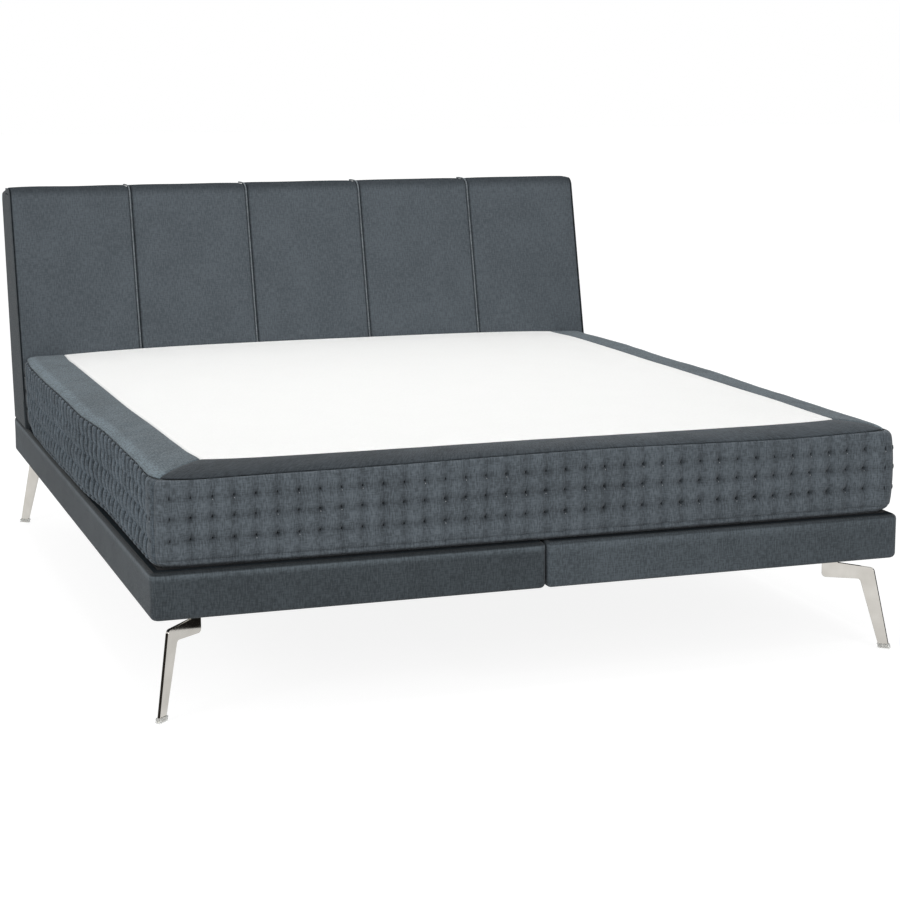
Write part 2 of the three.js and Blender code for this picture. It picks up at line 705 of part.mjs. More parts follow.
function rimStationShares(side) {
  const radiusShare = boxFootCornerRadius / (side === 0 ? boxWidth : boxLength);
  const near = rimCornerShares.map((share) => share * radiusShare);
  return [...near, ...rimMiddleShares, ...near.map((share) => 1 - share).reverse()];
}

// How far the white panel's sides bulge at a share of their length.
const panelBulge = (share) => panelBow * Math.sin(Math.PI * share);

// innerStart and innerEnd are the ends of the rim's seam with the white panel, in (X, Y), and outwards is
// the way it bulges along X.
function buildRim(name, side, innerStart, innerEnd, outwards) {
  const squareEnd = side !== 0;
  const stationShares = rimStationShares(side);
  const outer = stationShares.map((share) => outlineAt(side, share, seamHeight, squareEnd).point);
  if (squareEnd) {
    // the side's rim is cut off square, level with the box's head end
    outer.forEach((point) => point.setY(Math.min(point.y, headEdge)));
  }
  const [start, end] = [innerStart, innerEnd].map(([x, y]) => new THREE.Vector3(x, y, seamHeight));
  const inner = stationShares.map((share) => {
    const point = start.clone().lerp(end, share);
    return point.setX(point.x + outwards * panelBulge(share));
  });
  const face = rimAcrossShares.map(([acrossShare, crownShare]) => outer.map((point, i) => (
    point.clone().lerp(inner[i], acrossShare).setZ(seamHeight + rimCrown * crownShare))));
  const back = [outer, inner].map((row) => row.map((point) => point.clone().setZ(rimUnderside)));
  addPiece(name, padSolid(face, back), boxCloth);
}

const rimInnerFoot = panelFoot - seat;
const rimInnerHalf = panelHalf + seat;
buildRim('box_rim_foot', 0, [-panelHalf, rimInnerFoot], [panelHalf, rimInnerFoot], 0);
buildRim('box_rim_right', 1, [rimInnerHalf, panelFoot], [rimInnerHalf, headEdge], 1);
buildRim('box_rim_left', 3, [-rimInnerHalf, headEdge], [-rimInnerHalf, panelFoot], -1);

// The white panel rises from its sides and its foot edge to a flat middle, and comes down only a little
// to the headboard: heights as shares of the crown, across at places that are shares of the width, and
// along at the rim's stations.
const panelAcrossShares = [[0, 0], [0.04, 0.45], [0.14, 1], [0.86, 1], [0.96, 0.45], [1, 0]];
const panelFootRiseShare = 0.09; // of the length
const panelHeadShare = 0.7; // of the crown

function buildTopPanel() {
  const edgeZ = seamHeight + rimCrown;
  const face = rimStationShares(1).map((alongShare) => {
    const footRise = Math.min(1, alongShare / panelFootRiseShare);
    const rise = footRise * (alongShare > 1 / 2 ? THREE.MathUtils.lerp(
      panelHeadShare, 1, Math.min(1, (1 - alongShare) / panelFootRiseShare)) : 1);
    const half = panelHalf + panelBulge(alongShare);
    return panelAcrossShares.map(([acrossShare, acrossRise]) => new THREE.Vector3(
      THREE.MathUtils.lerp(-half, half, acrossShare),
      THREE.MathUtils.lerp(panelFoot, headEdge, alongShare),
      edgeZ + panelCrown * Math.min(rise, acrossRise)));
  });
  const back = face.map((row) => [row[0], row.at(-1)].map((point) => point.clone().setZ(rimUnderside)));
  addPiece('box_top_panel', padSolid(face, back), whiteCloth);
}
buildTopPanel();

// Headboard

// Cushions and body bend over the front shoulder in the same steps, so that they stay parallel.
const shoulderSteps = 5;

// The centre of the front shoulder in (Y, Z), over which the cushions bend
const frontShoulder = new THREE.Vector2(
  headboardFrontAt(headboardTop - frontShoulderRadius) + frontShoulderRadius / Math.cos(frontLean),
  headboardTop - frontShoulderRadius);
const cushionEnd = frontShoulder.x + topReturn;
const headboardUnderside = plinthTop + seat;

// The back plane, and the body's top, which falls away from the cushions' end square to it
const headboardBackAt = (z) => headboardBack + (z - plinthTop) * Math.tan(backLean);
const bodyTopAt = (y) => headboardTop - bodyTopDrop - (y - cushionEnd) * Math.tan(backLean);
const backTop = (() => {
  // where the two lines meet
  const slope = Math.tan(backLean);
  const y = (headboardBack + (bodyTopAt(0) - plinthTop) * slope) / (1 + slope * slope);
  return new THREE.Vector2(y, bodyTopAt(y));
})();
const backShoulder = backTop.clone()
  .addScaledVector(new THREE.Vector2(Math.cos(backLean), -Math.sin(backLean)), -backShoulderRadius)
  .addScaledVector(new THREE.Vector2(Math.sin(backLean), Math.cos(backLean)), -backShoulderRadius);

// The side outline of the headboard's body in (Y, Z), drawn in by inset: up the front behind the
// cushions, over the front shoulder, a step up behind the cushions' end, the back shoulder, and down.
function bodyOutline(inset, underside) {
  const behindCushions = cushionThickness + seat + inset;
  const frontAt = (z) => headboardFrontAt(z) + behindCushions / Math.cos(frontLean);
  const backAt = (z) => headboardBackAt(z) - inset / Math.cos(backLean);
  const step = cushionEnd + seat + inset;
  return [
    new THREE.Vector2(backAt(underside), underside),
    ...arcPoints(
      backShoulder.x, backShoulder.y, backShoulderRadius - inset, -backLean, Math.PI / 2 - backLean, 5),
    new THREE.Vector2(step, bodyTopAt(step) - inset / Math.cos(backLean)),
    new THREE.Vector2(step, frontShoulder.y + frontShoulderRadius - behindCushions),
    ...arcPoints(
      frontShoulder.x, frontShoulder.y, frontShoulderRadius - behindCushions,
      Math.PI / 2, Math.PI - frontLean, shoulderSteps),
    new THREE.Vector2(frontAt(underside), underside),
  ];
}

const headboardHalf = bedWidth / 2;
const coverOutside = carriedAlongX(
  bodyOutline(0, headboardUnderside), -headboardHalf, headboardHalf, headboardEdgeRadius);
const insideCover = headboardHalf - headboardCoverWall;
const coverInside = carriedAlongX(
  bodyOutline(headboardCoverWall, headboardUnderside - overrun), -insideCover, insideCover);
addPiece('headboard_cover', cut(coverOutside, coverInside), headboardCloth);

// Inside the cover: a board behind the cushions and two rails
const boardHalf = insideCover - seat;
function buildHeadboardFrame() {
  const wallInset = cushionThickness + headboardCoverWall + 2 * seat;
  const frontAt = (z) => headboardFrontAt(z) + wallInset / Math.cos(frontLean);
  const boardBackAt = (z) => frontAt(z) + headboardBoardThickness / Math.cos(frontLean);
  const railFrontAt = (z) => boardBackAt(z) + seat;
  const coverBackAt = (z) => headboardBackAt(z) - (headboardCoverWall + seat) / Math.cos(backLean);
  const low = headboardUnderside;
  const high = frontShoulder.y;
  // a piece between a front and a back, each given by its place at a height, from one height to another
  const lengthOfSection = (front, back, from, to) => carriedAlongX(
    [[front(from), from], [back(from), from], [back(to), to], [front(to), to]]
      .map(([y, z]) => new THREE.Vector2(y, z)),
    -boardHalf, boardHalf);

  addPiece('headboard_board', lengthOfSection(frontAt, boardBackAt, low, high), plywood);
  const boltHoles = [-1, 1].map((hand) => rod(
    boltHoleRadius, hand * bedWidth / 4, headboardBoltY, low - overrun, headboardBoltTop + seat));
  const baseRail = lengthOfSection(railFrontAt, coverBackAt, low, low + baseRailHeight);
  addPiece('headboard_base_rail', cut(baseRail, ...boltHoles), timber);
  const topRailBackAt = (z) => railFrontAt(z) + topRailThickness;
  const topRail = lengthOfSection(railFrontAt, topRailBackAt, high - topRailHeight, high);
  addPiece('headboard_top_rail', topRail, timber);
}
buildHeadboardFrame();

// The cushions' long edges are bevelled, and a piping cord lies in the groove between two cushions.
const bevelWidthShare = 1.1; // of the piping's radius
const bevelDepthShare = 2;
const bevelWidth = bevelWidthShare * pipingRadius;
const bevelDepth = bevelDepthShare * pipingRadius;
const pitch = bedWidth / cushionCount;

// Stations up a cushion's straight front, the second close to its lower edge; and across its width, the
// place as a share of the half width, with the crown's share there.
const cushionUprightShares = [0, 0.012, 0.35, 0.7, 1];
const cushionAcrossShares = [[-0.5, 0.75], [0, 1], [0.5, 0.75]];

// The cushions' path in (Y, Z), from their lower edge up the front and over the shoulder, raised by an
// offset from their plane.
function cushionPath(offset) {
  const low = plinthTop + cushionStart;
  const normal = new THREE.Vector2(-Math.cos(frontLean), Math.sin(frontLean));
  const bottom = new THREE.Vector2(headboardFrontAt(low), low);
  const shoulderStart = frontShoulder.clone().addScaledVector(normal, frontShoulderRadius);
  const stations = cushionUprightShares.map((share) => ({
    place: bottom.clone().lerp(shoulderStart, share), normal,
  }));
  const sweep = Math.PI / 2 - frontLean;
  for (let i = 1; i <= shoulderSteps; i += 1) {
    const angle = Math.PI - frontLean - sweep * i / shoulderSteps;
    const out = new THREE.Vector2(Math.cos(angle), Math.sin(angle));
    stations.push({ place: frontShoulder.clone().addScaledVector(out, frontShoulderRadius), normal: out });
  }
  const top = new THREE.Vector2(0, 1);
  stations.push({ place: new THREE.Vector2(cushionEnd - bevelWidth, headboardTop), normal: top });
  stations.push({ place: new THREE.Vector2(cushionEnd, headboardTop), normal: top });
  return stations.map(({ place, normal: out }) => place.addScaledVector(out, offset));
}

function buildCushion(index) {
  const middle = (index - (cushionCount - 1) / 2) * pitch;
  const half = pitch / 2 - seat;
  const columns = [
    { x: middle - half, rise: -bevelDepth },
    { x: middle - half + bevelWidth, rise: 0 },
    ...cushionAcrossShares.map(([acrossShare, crownShare]) => (
      { x: middle + acrossShare * half, rise: crownShare * cushionCrown })),
    { x: middle + half - bevelWidth, rise: 0 },
    { x: middle + half, rise: -bevelDepth },
  ];
  const levels = columns.map(({ rise }) => cushionPath(rise));
  const lastRow = levels[0].length - 1;
  const flat = cushionPath(-bevelDepth);
  const face = levels[0].map((_, row) => columns.map(({ x }, c) => {
    const edge = row === 0 || row === lastRow;
    const place = edge ? flat[row] : levels[c][row];
    return new THREE.Vector3(x, place.x, place.y);
  }));
  const inner = cushionPath(-cushionThickness);
  const back = inner.map((place) => (
    [middle - half, middle + half].map((x) => new THREE.Vector3(x, place.x, place.y))));
  addPiece(`headboard_cushion_${index + 1}`, padSolid(face, back), headboardCloth);
}

for (let i = 0; i < cushionCount; i += 1) buildCushion(i);

// A piping cord rests on the two bevels of its groove, a seat clear of both.
function buildPiping(index) {
  const slope = Math.hypot(bevelWidth, bevelDepth);
  const restHeight = ((pipingRadius + seat) * slope - seat * bevelDepth) / bevelWidth - bevelDepth;
  const x = (index + 1 - cushionCount / 2) * pitch;
  const path = cushionPath(restHeight).slice(1, -1);
  const sides = 6;
  // rings of the tube, each square to the path
  const rings = path.map((place, i) => {
    const before = path[Math.max(i - 1, 0)];
    const after = path[Math.min(i + 1, path.length - 1)];
    const along = after.clone().sub(before).normalize();
    const out = new THREE.Vector2(-along.y, along.x);
    return Array.from({ length: sides }, (_, k) => {
      const angle = 2 * Math.PI * (k + 0.5) / sides;
      const raised = place.clone().addScaledVector(out, pipingRadius * Math.sin(angle));
      return new THREE.Vector3(x + pipingRadius * Math.cos(angle), raised.x, raised.y);
    });
  });
  const triangles = [];
  const loop = (ring) => [...ring, ring[0]];
  for (let i = 0; i + 1 < rings.length; i += 1) triangles.push(...zip(loop(rings[i]), loop(rings[i + 1])));
  const cap = (ring, flip) => {
    for (let k = 1; k + 1 < sides; k += 1) {
      triangles.push(flip ? [ring[0], ring[k + 1], ring[k]] : [ring[0], ring[k], ring[k + 1]]);
    }
  };
  cap(rings[0], true);
  cap(rings.at(-1), false);
  addPiece(`headboard_piping_${index + 1}`, closedGeometry(triangles), pipingCloth);
}

for (let i = 0; i + 1 < cushionCount; i += 1) buildPiping(i);

// The origin is on the floor, under the middle of the whole bed.
const reach = new THREE.Box3().setFromObject(bed);
bed.position.y = -(reach.min.y + reach.max.y) / 2;
bed.updateMatrixWorld(true);

export default bed;
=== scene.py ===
# %% [markdown]
# A box spring bed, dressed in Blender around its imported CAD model. The bed has two low upholstered
# plinths on bent-blade legs, a loose box with a tufted border and a white top, and a padded headboard
# that leans back. Every soft part that the CAD holds as a plain solid gets its own surface here, worked
# out with numpy in the same place. Lengths are in metres, X across the bed, Y to the head end, Z up.

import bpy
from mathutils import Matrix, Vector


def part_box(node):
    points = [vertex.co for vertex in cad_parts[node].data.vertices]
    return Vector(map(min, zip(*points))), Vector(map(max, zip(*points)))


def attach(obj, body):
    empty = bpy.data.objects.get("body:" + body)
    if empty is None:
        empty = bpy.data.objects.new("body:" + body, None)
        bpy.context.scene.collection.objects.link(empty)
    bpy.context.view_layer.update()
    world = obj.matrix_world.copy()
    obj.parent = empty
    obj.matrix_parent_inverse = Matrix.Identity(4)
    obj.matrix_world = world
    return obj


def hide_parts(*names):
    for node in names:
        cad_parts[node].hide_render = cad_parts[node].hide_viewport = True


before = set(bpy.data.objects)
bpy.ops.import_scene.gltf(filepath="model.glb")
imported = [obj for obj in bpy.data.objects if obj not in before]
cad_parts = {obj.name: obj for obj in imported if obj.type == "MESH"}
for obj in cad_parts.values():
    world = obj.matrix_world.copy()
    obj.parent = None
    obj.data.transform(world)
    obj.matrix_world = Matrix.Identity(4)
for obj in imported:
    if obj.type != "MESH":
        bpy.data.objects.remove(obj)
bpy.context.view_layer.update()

import math

import bpy
import numpy as np
from mathutils import Euler, Matrix, Vector

MM = 0.001
QUARTER = math.pi / 2
scene = bpy.context.scene
scene.view_settings.view_transform = "Standard"

# %% [markdown]
# The camera stands to the left of the foot end, a little above the bed, with a long lens. Its place and
# its aim were worked out from the bed's corners in the photograph.

# %% Camera
CAMERA_PLACE = (-1.7428, -5.5765, 1.4171)
# degrees down from level, to the right of the bed's length, and out of level
LOOK_DOWN, LOOK_RIGHT, TILT = 10.281, 18.838, 0.184
SENSOR_WIDTH, FOCAL_LENGTH = 36.0, 84.645

lens_data = bpy.data.cameras.new("camera")
lens_data.sensor_width, lens_data.lens = SENSOR_WIDTH, FOCAL_LENGTH
lens_data.dof.use_dof = False
camera = bpy.data.objects.new("camera", lens_data)
camera.location = CAMERA_PLACE
aim = Euler((math.radians(90 - LOOK_DOWN), 0.0, math.radians(-LOOK_RIGHT))).to_matrix()
camera.rotation_euler = (aim @ Matrix.Rotation(math.radians(-TILT), 3, "Z")).to_euler()
scene.collection.objects.link(camera)
scene.camera = camera
print("camera at", CAMERA_PLACE)

# %% [markdown]
# The main sizes come from the CAD nodes themselves, so the dressed bed follows the frame. The rest are
# the sizes that the CAD was drawn with.

# %% Sizes of the bed
# the bed's halves with the sign of their X, and the box's sides, counted round from the foot
HANDS = (("left", -1), ("right", 1))
SIDES = ("foot", "right", "head", "left")
FOOT, RIGHT, HEAD, LEFT = range(4)

cover_low, cover_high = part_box("plinth_cover_left")
BED_HALF = -cover_low.x
SPLIT_HALF = -cover_high.x
FOOT_Y, HEAD_Y = cover_low.y, cover_high.y
PLINTH_UNDER, PLINTH_TOP = cover_low.z, cover_high.z

BOX_HALF = BED_HALF - 10 * MM
BOX_FOOT = FOOT_Y + 17 * MM
FOOT_CORNER, HEAD_CORNER = 36 * MM, 14 * MM
BORDER_UNDER = PLINTH_TOP + 6 * MM
SEAM_Z = PLINTH_TOP + 205 * MM
BORDER_THICKNESS = 26 * MM
RIM_FOOT_WIDTH = 79 * MM
RIM_SIDE_WIDTH = 122 * MM
RIM_CROWN = 19 * MM
PANEL_CROWN = 8 * MM
PAD_UNDER = SEAM_Z - 5.7 * MM

FRONT_LEAN = math.radians(13.7)
BACK_LEAN = math.radians(8.7)
HEADBOARD_BACK = HEAD_Y - 25 * MM
HEADBOARD_FRONT = HEADBOARD_BACK - 255 * MM
HEADBOARD_TOP = 1054 * MM
HEAD_CLEARANCE = 4 * MM
# left free between two pieces that would touch
PLAY = 0.3 * MM


def headboard_front(z):
    """Y of the headboard's front plane at height z: a line that leans back by FRONT_LEAN."""
    return HEADBOARD_FRONT + (z - PLINTH_TOP) * math.tan(FRONT_LEAN)


def headboard_back(z):
    """Y of the headboard's back plane at height z: a line that leans back by BACK_LEAN."""
    return HEADBOARD_BACK + (z - PLINTH_TOP) * math.tan(BACK_LEAN)


def box_head(z):
    """Y of the box's head end at height z: the headboard's front plane less a small clearance."""
    return headboard_front(z) - HEAD_CLEARANCE


print("bed half width", BED_HALF, "foot", FOOT_Y, "head", HEAD_Y, "box head at seam", box_head(SEAM_Z))

# %% [markdown]
# Most of the upholstery is a closed section carried along a path, or a stack of rings. One function
# skins such a grid of points, closes both ends, and turns every face outwards by the sign of the
# volume. The cloth's pattern follows a UV map in metres, so a thread has the same size everywhere.

# %% Meshes from grids of points
def flat_uv(points, normals):
    """UV of face corners from the side that each face looks to: the two other coordinates, in metres."""
    axis = np.abs(normals).argmax(-1)
    picks = (np.where(axis == 0, 1, 0), np.where(axis == 2, 1, 2))
    picks = [pick[:, None, None].repeat(points.shape[1], 1) for pick in picks]
    return np.concatenate([np.take_along_axis(points, pick, -1) for pick in picks], -1)


def corner_normals(corners):
    """Normals of faces given as (face, corner, xyz): the cross product of their first two diagonals."""
    last = 3 if corners.shape[1] > 3 else 1
    return np.cross(corners[:, 2] - corners[:, 0], corners[:, last] - corners[:, 1])


def finish_mesh(name, points, quads, quad_uv, extra, material, smooth_caps=False):
    """Makes an object of a vertex array, quads with their corner UVs, and further faces of any size.

    The volume under each face, a dot (b cross c) over its triangles, is added up about the middle of
    the points. If the sum is negative the faces look inwards, and every face is turned round. The
    further faces close an end. They are flat unless smooth_caps is set, so that they don't bend the
    shading there."""
    points = np.asarray(points, float).reshape(-1, 3)
    centred = points - points.mean(0)
    a, b, c, d = (centred[quads[:, k]] for k in range(4))
    volume = (a * np.cross(b, c)).sum() + (a * np.cross(c, d)).sum()
    extra_uv = []
    for face in extra:
        ring = centred[face]
        volume += (ring[0] * np.cross(ring[1:-1], ring[2:])).sum()
        normal = np.cross(ring, np.roll(ring, -1, 0)).sum(0)
        extra_uv.append(flat_uv(points[face][None], normal[None])[0])
    if quad_uv is None:
        corners = points[quads]
        quad_uv = flat_uv(corners, corner_normals(corners))
    step = 1 if volume > 0 else -1
    faces = quads[:, ::step].tolist() + [list(face)[::step] for face in extra]
    uv = np.concatenate([quad_uv[:, ::step].reshape(-1, 2)] + [part[::step] for part in extra_uv])
    mesh = bpy.data.meshes.new(name)
    mesh.from_pydata(points.tolist(), [], faces)
    mesh.uv_layers.new(name="cloth").data.foreach_set("uv", uv.astype(np.float32).ravel())
    mesh.polygons.foreach_set("use_smooth", [True] * len(quads) + [smooth_caps] * len(extra))
    mesh.materials.append(material)
    mesh.update()
    made = bpy.data.objects.new(name, mesh)
    scene.collection.objects.link(made)
    return made


def grid_quads(rows, columns, wrap):
    """Quads between neighbours in a grid of rows x columns points. With wrap the last column meets the
    first. Gives the point numbers, and the row and the unwrapped column of each quad's first corner."""
    row = np.repeat(np.arange(rows - 1), columns if wrap else columns - 1)
    column = np.tile(np.arange(columns if wrap else columns - 1), rows - 1)
    after = (column + 1) % columns
    quads = np.stack([row * columns + column, row * columns + after,
                      (row + 1) * columns + after, (row + 1) * columns + column], -1)
    return quads, row, column


def loft(name, sections, material, uv=None, smooth_caps=False):
    """Skins closed sections, sections[i, j] being point j of the loop at station i, and caps both ends.

    uv has one column more than the loop has points, so that the pattern doesn't run back at the seam."""
    stations, count, _ = sections.shape
    quads, row, column = grid_quads(stations, count, wrap=True)
    quad_uv = None
    if uv is not None:
        quad_uv = np.stack([uv[row, column], uv[row, column + 1], uv[row + 1, column + 1],
                            uv[row + 1, column]], 1)
    loop = np.arange(count)
    caps = [loop[::-1], loop + (stations - 1) * count]
    return finish_mesh(name, sections, quads, quad_uv, caps, material, smooth_caps)


def slab(name, top, under, material):
    """A top grid of points with a skirt straight down to height under, closed there by one flat face."""
    rows, columns, _ = top.shape
    quads, _, _ = grid_quads(rows, columns, wrap=False)
    number = np.arange(rows * columns).reshape(rows, columns)
    rim = np.concatenate([number[0, :-1], number[:-1, -1], number[-1, :0:-1], number[:0:-1, 0]])
    points = top.reshape(-1, 3)
    lower = points[rim].copy()
    lower[:, 2] = under
    low = rows * columns + np.arange(len(rim))
    skirt = np.stack([rim, low, np.roll(low, -1), np.roll(rim, -1)], -1)
    return finish_mesh(name, np.concatenate([points, lower]), np.concatenate([quads, skirt]), None,
                       [low[::-1]], material)


def uv_grid(u, v):
    """UV of a grid from the U of its points and their V, each given along one side of the grid."""
    return np.stack(np.broadcast_arrays(u, v), -1)


def add_first(value, points):
    """Gives all points one more coordinate, before their others."""
    return np.column_stack([np.full(len(points), value), points])


def add_last(points, value):
    """Gives all points one more coordinate, after their others."""
    return np.column_stack([points, np.full(len(points), value)])


def full_turn(count):
    """Angles of so many points spread evenly round a circle."""
    return np.linspace(0, math.tau, count + 1)[:-1]


def tell(pieces):
    """Prints the names of new pieces with their number of points."""
    print("made", {piece.name: len(piece.data.vertices) for piece in pieces})


# %% [markdown]
# Real upholstery is never quite even. The relief below takes most of its forms from a few simple
# curves: a sum of sine waves for what is random, a sharp hollow for a seam, a bell for what fades away,
# and eased steps where a line has to pass through places that were measured.

# %% Curves of the relief
WAVE_COUNT, WAVE_STRETCH = 8, (0.7, 1.5)
USUAL_SUM = 3
# one seed for each kind of unevenness, to which a side or a panel adds its number
SEEDS = {"waves": 7, "plinths": 21, "creases": 27, "pulls": 40, "rims": 60, "seam": 80, "white top": 91,
         "puckers": 300, "panels": 310, "knots": 500}


def ripple(u, v, wavelength, seed):
    """Soft random relief of about -1 to 1: eight sine waves near one wavelength, in random directions,
    divided by the 3 that their sum seldom passes."""
    random = np.random.default_rng(seed)
    total = 0.0
    for _ in range(WAVE_COUNT):
        heading = random.uniform(0, math.tau)
        phase = random.uniform(0, math.tau)
        stretch = random.uniform(*WAVE_STRETCH)
        along = u * math.cos(heading) + v * math.sin(heading)
        total = total + np.sin(math.tau * along / (wavelength * stretch) + phase)
    return total / USUAL_SUM


def crease(distance, width):
    """A seam's hollow as a share of its depth: exp(-|distance| / width), 1 in the seam."""
    return np.exp(-np.abs(distance) / width)


def bell(distance, reach):
    """A round hill: exp(-(distance / reach)^2), 1 in its middle."""
    return np.exp(-(distance / reach) ** 2)


def ease(t):
    """A step from 0 to 1 with a soft start and end: t^2 (3 - 2 t)."""
    t = np.clip(t, 0, 1)
    return t ** 2 * (3 - 2 * t)


def soft_steps(place, places, millimetres):
    """Goes from each value to the next with eased steps. The values are in millimetres."""
    i = np.clip(np.searchsorted(places, place) - 1, 0, len(places) - 2)
    places, values = np.array(places), np.array(millimetres) * MM
    return values[i] + (values[i + 1] - values[i]) * ease((place - places[i]) / (places[i + 1] - places[i]))


print("seeds of the random relief", SEEDS)

# %% [markdown]
# Shader maths reads best as plain expressions. A wire stands for one output socket: sums and products
# of wires and numbers add their Math nodes, and one method adds any other node.

# %% Wires
class Wire:
    """One output socket of a material's node tree."""

    def __init__(self, tree, socket=None):
        self.tree, self.socket = tree, socket

    def node(self, kind, settings, inputs, output=0):
        """Adds a node: its settings are set first, then its sockets' values or links."""
        made = self.tree.nodes.new(kind)
        for key, value in settings.items():
            setattr(made, key, value)
        for key, value in inputs.items():
            if isinstance(value, Wire):
                self.tree.links.new(value.socket, made.inputs[key])
            else:
                made.inputs[key].default_value = value
        return Wire(self.tree, made.outputs[output])

    def math(self, operation, *values):
        """Adds a Math node."""
        return self.node("ShaderNodeMath", {"operation": operation}, dict(enumerate(values)))

    def ramp(self, start, end, before=0.0, after=1.0, smooth=False):
        """Goes from before to after while this wire goes from start to end, eased if smooth is set."""
        kind = "SMOOTHSTEP" if smooth else "LINEAR"
        return self.node("ShaderNodeMapRange", {"interpolation_type": kind}, {
            "Value": self, "From Min": start, "From Max": end, "To Min": before, "To Max": after})

    def __add__(self, other):
        return self.math("ADD", self, other)

    def __sub__(self, other):
        return self.math("SUBTRACT", self, other)

    def __rsub__(self, other):
        return self.math("SUBTRACT", other, self)

    def __mul__(self, other):
        return self.math("MULTIPLY", self, other)

    __radd__, __rmul__ = __add__, __mul__


def new_material(name):
    """An empty material with a Principled shader that is already joined to the output."""
    material = bpy.data.materials.new(name)
    material.use_nodes = True
    tree = material.node_tree
    tree.nodes.clear()
    shader = tree.nodes.new("ShaderNodeBsdfPrincipled")
    output = tree.nodes.new("ShaderNodeOutputMaterial")
    tree.links.new(shader.outputs[0], output.inputs[0])
    return material, shader, Wire(tree)


def feed(shader, **links):
    """Joins wires to the shader's sockets, and sets numbers and colours on them."""
    for key, value in links.items():
        socket = shader.inputs[key.replace("_", " ")]
        if isinstance(value, Wire):
            value.tree.links.new(value.socket, socket)
        else:
            socket.default_value = value


def object_place(wire):
    """The place of a point on its piece, in Object coordinates."""
    return wire.node("ShaderNodeTexCoord", {}, {}, "Object")


def shade(wire, factor, dark, light):
    """A colour between dark and light by a factor. A colour's Mix node has the factor at input 0, the
    colours at 6 and 7, and its result at output 2."""
    return wire.node("ShaderNodeMix", {"data_type": "RGBA"},
                     {0: factor, 6: (*dark, 1.0), 7: (*light, 1.0)}, 2)


def varied(wire, factor, colour, spread):
    """A colour that a factor takes from 1 - spread to 1 + spread times its value."""
    dark, light = ([min(c * (1 + spread * turn), 1.0) for c in colour] for turn in (-1, 1))
    return shade(wire, factor, dark, light)


# %% [markdown]
# The covers are a slate blue plain weave with slubs: threads that are thicker over a few centimetres
# and show as fine upright streaks. Seen from a step away the weave itself only roughens the surface, so
# it is a bump, and the streaks are colour.

# %% Woven cloth
TUFT_PITCH = 48.7 * MM
# the three rows of tufts below the seam, and how far the painted shade at a row reaches above and below it
TUFT_DROPS = (43.5 * MM, 90.0 * MM, 140.5 * MM)
ROW_SHADE_REACH = 17 * MM
# painted shade on the gathered folds: the colour darkens on a fold while a cosine wave goes over this
# range, and the painted folds set in over this stretch beside a corner
FOLD_SHADE_RANGE = (-0.7, 0.95)
FOLD_SHADE_START = (20 * MM, 60 * MM)
# waves to a metre across and along the threads, and detail
UPRIGHT_SLUBS, LEVEL_SLUBS, MOTTLE = ((300.0, 60.0), 2.0), ((60.0, 320.0), 2.0), ((9.0, 7.0), 3.0)
UPRIGHT_SHARE, LEVEL_SHARE, MOTTLE_SHARE = 0.5, 0.32, 0.18
# the part of the noise's range that is spread over the streaks' colours
NOISE_RANGE = (0.40, 0.60)
NOISE_ROUGHNESS = 0.6
WEAVE_HEIGHT = 0.3 * MM
# the slubs' height as a multiple of the weave's
SLUB_HEIGHT = 1.5
CLOTH_ROUGHNESS, SHEEN_ROUGHNESS = 0.88, 0.45
COORDINATES = {"U": 0, "V": 1, "Z": 2}


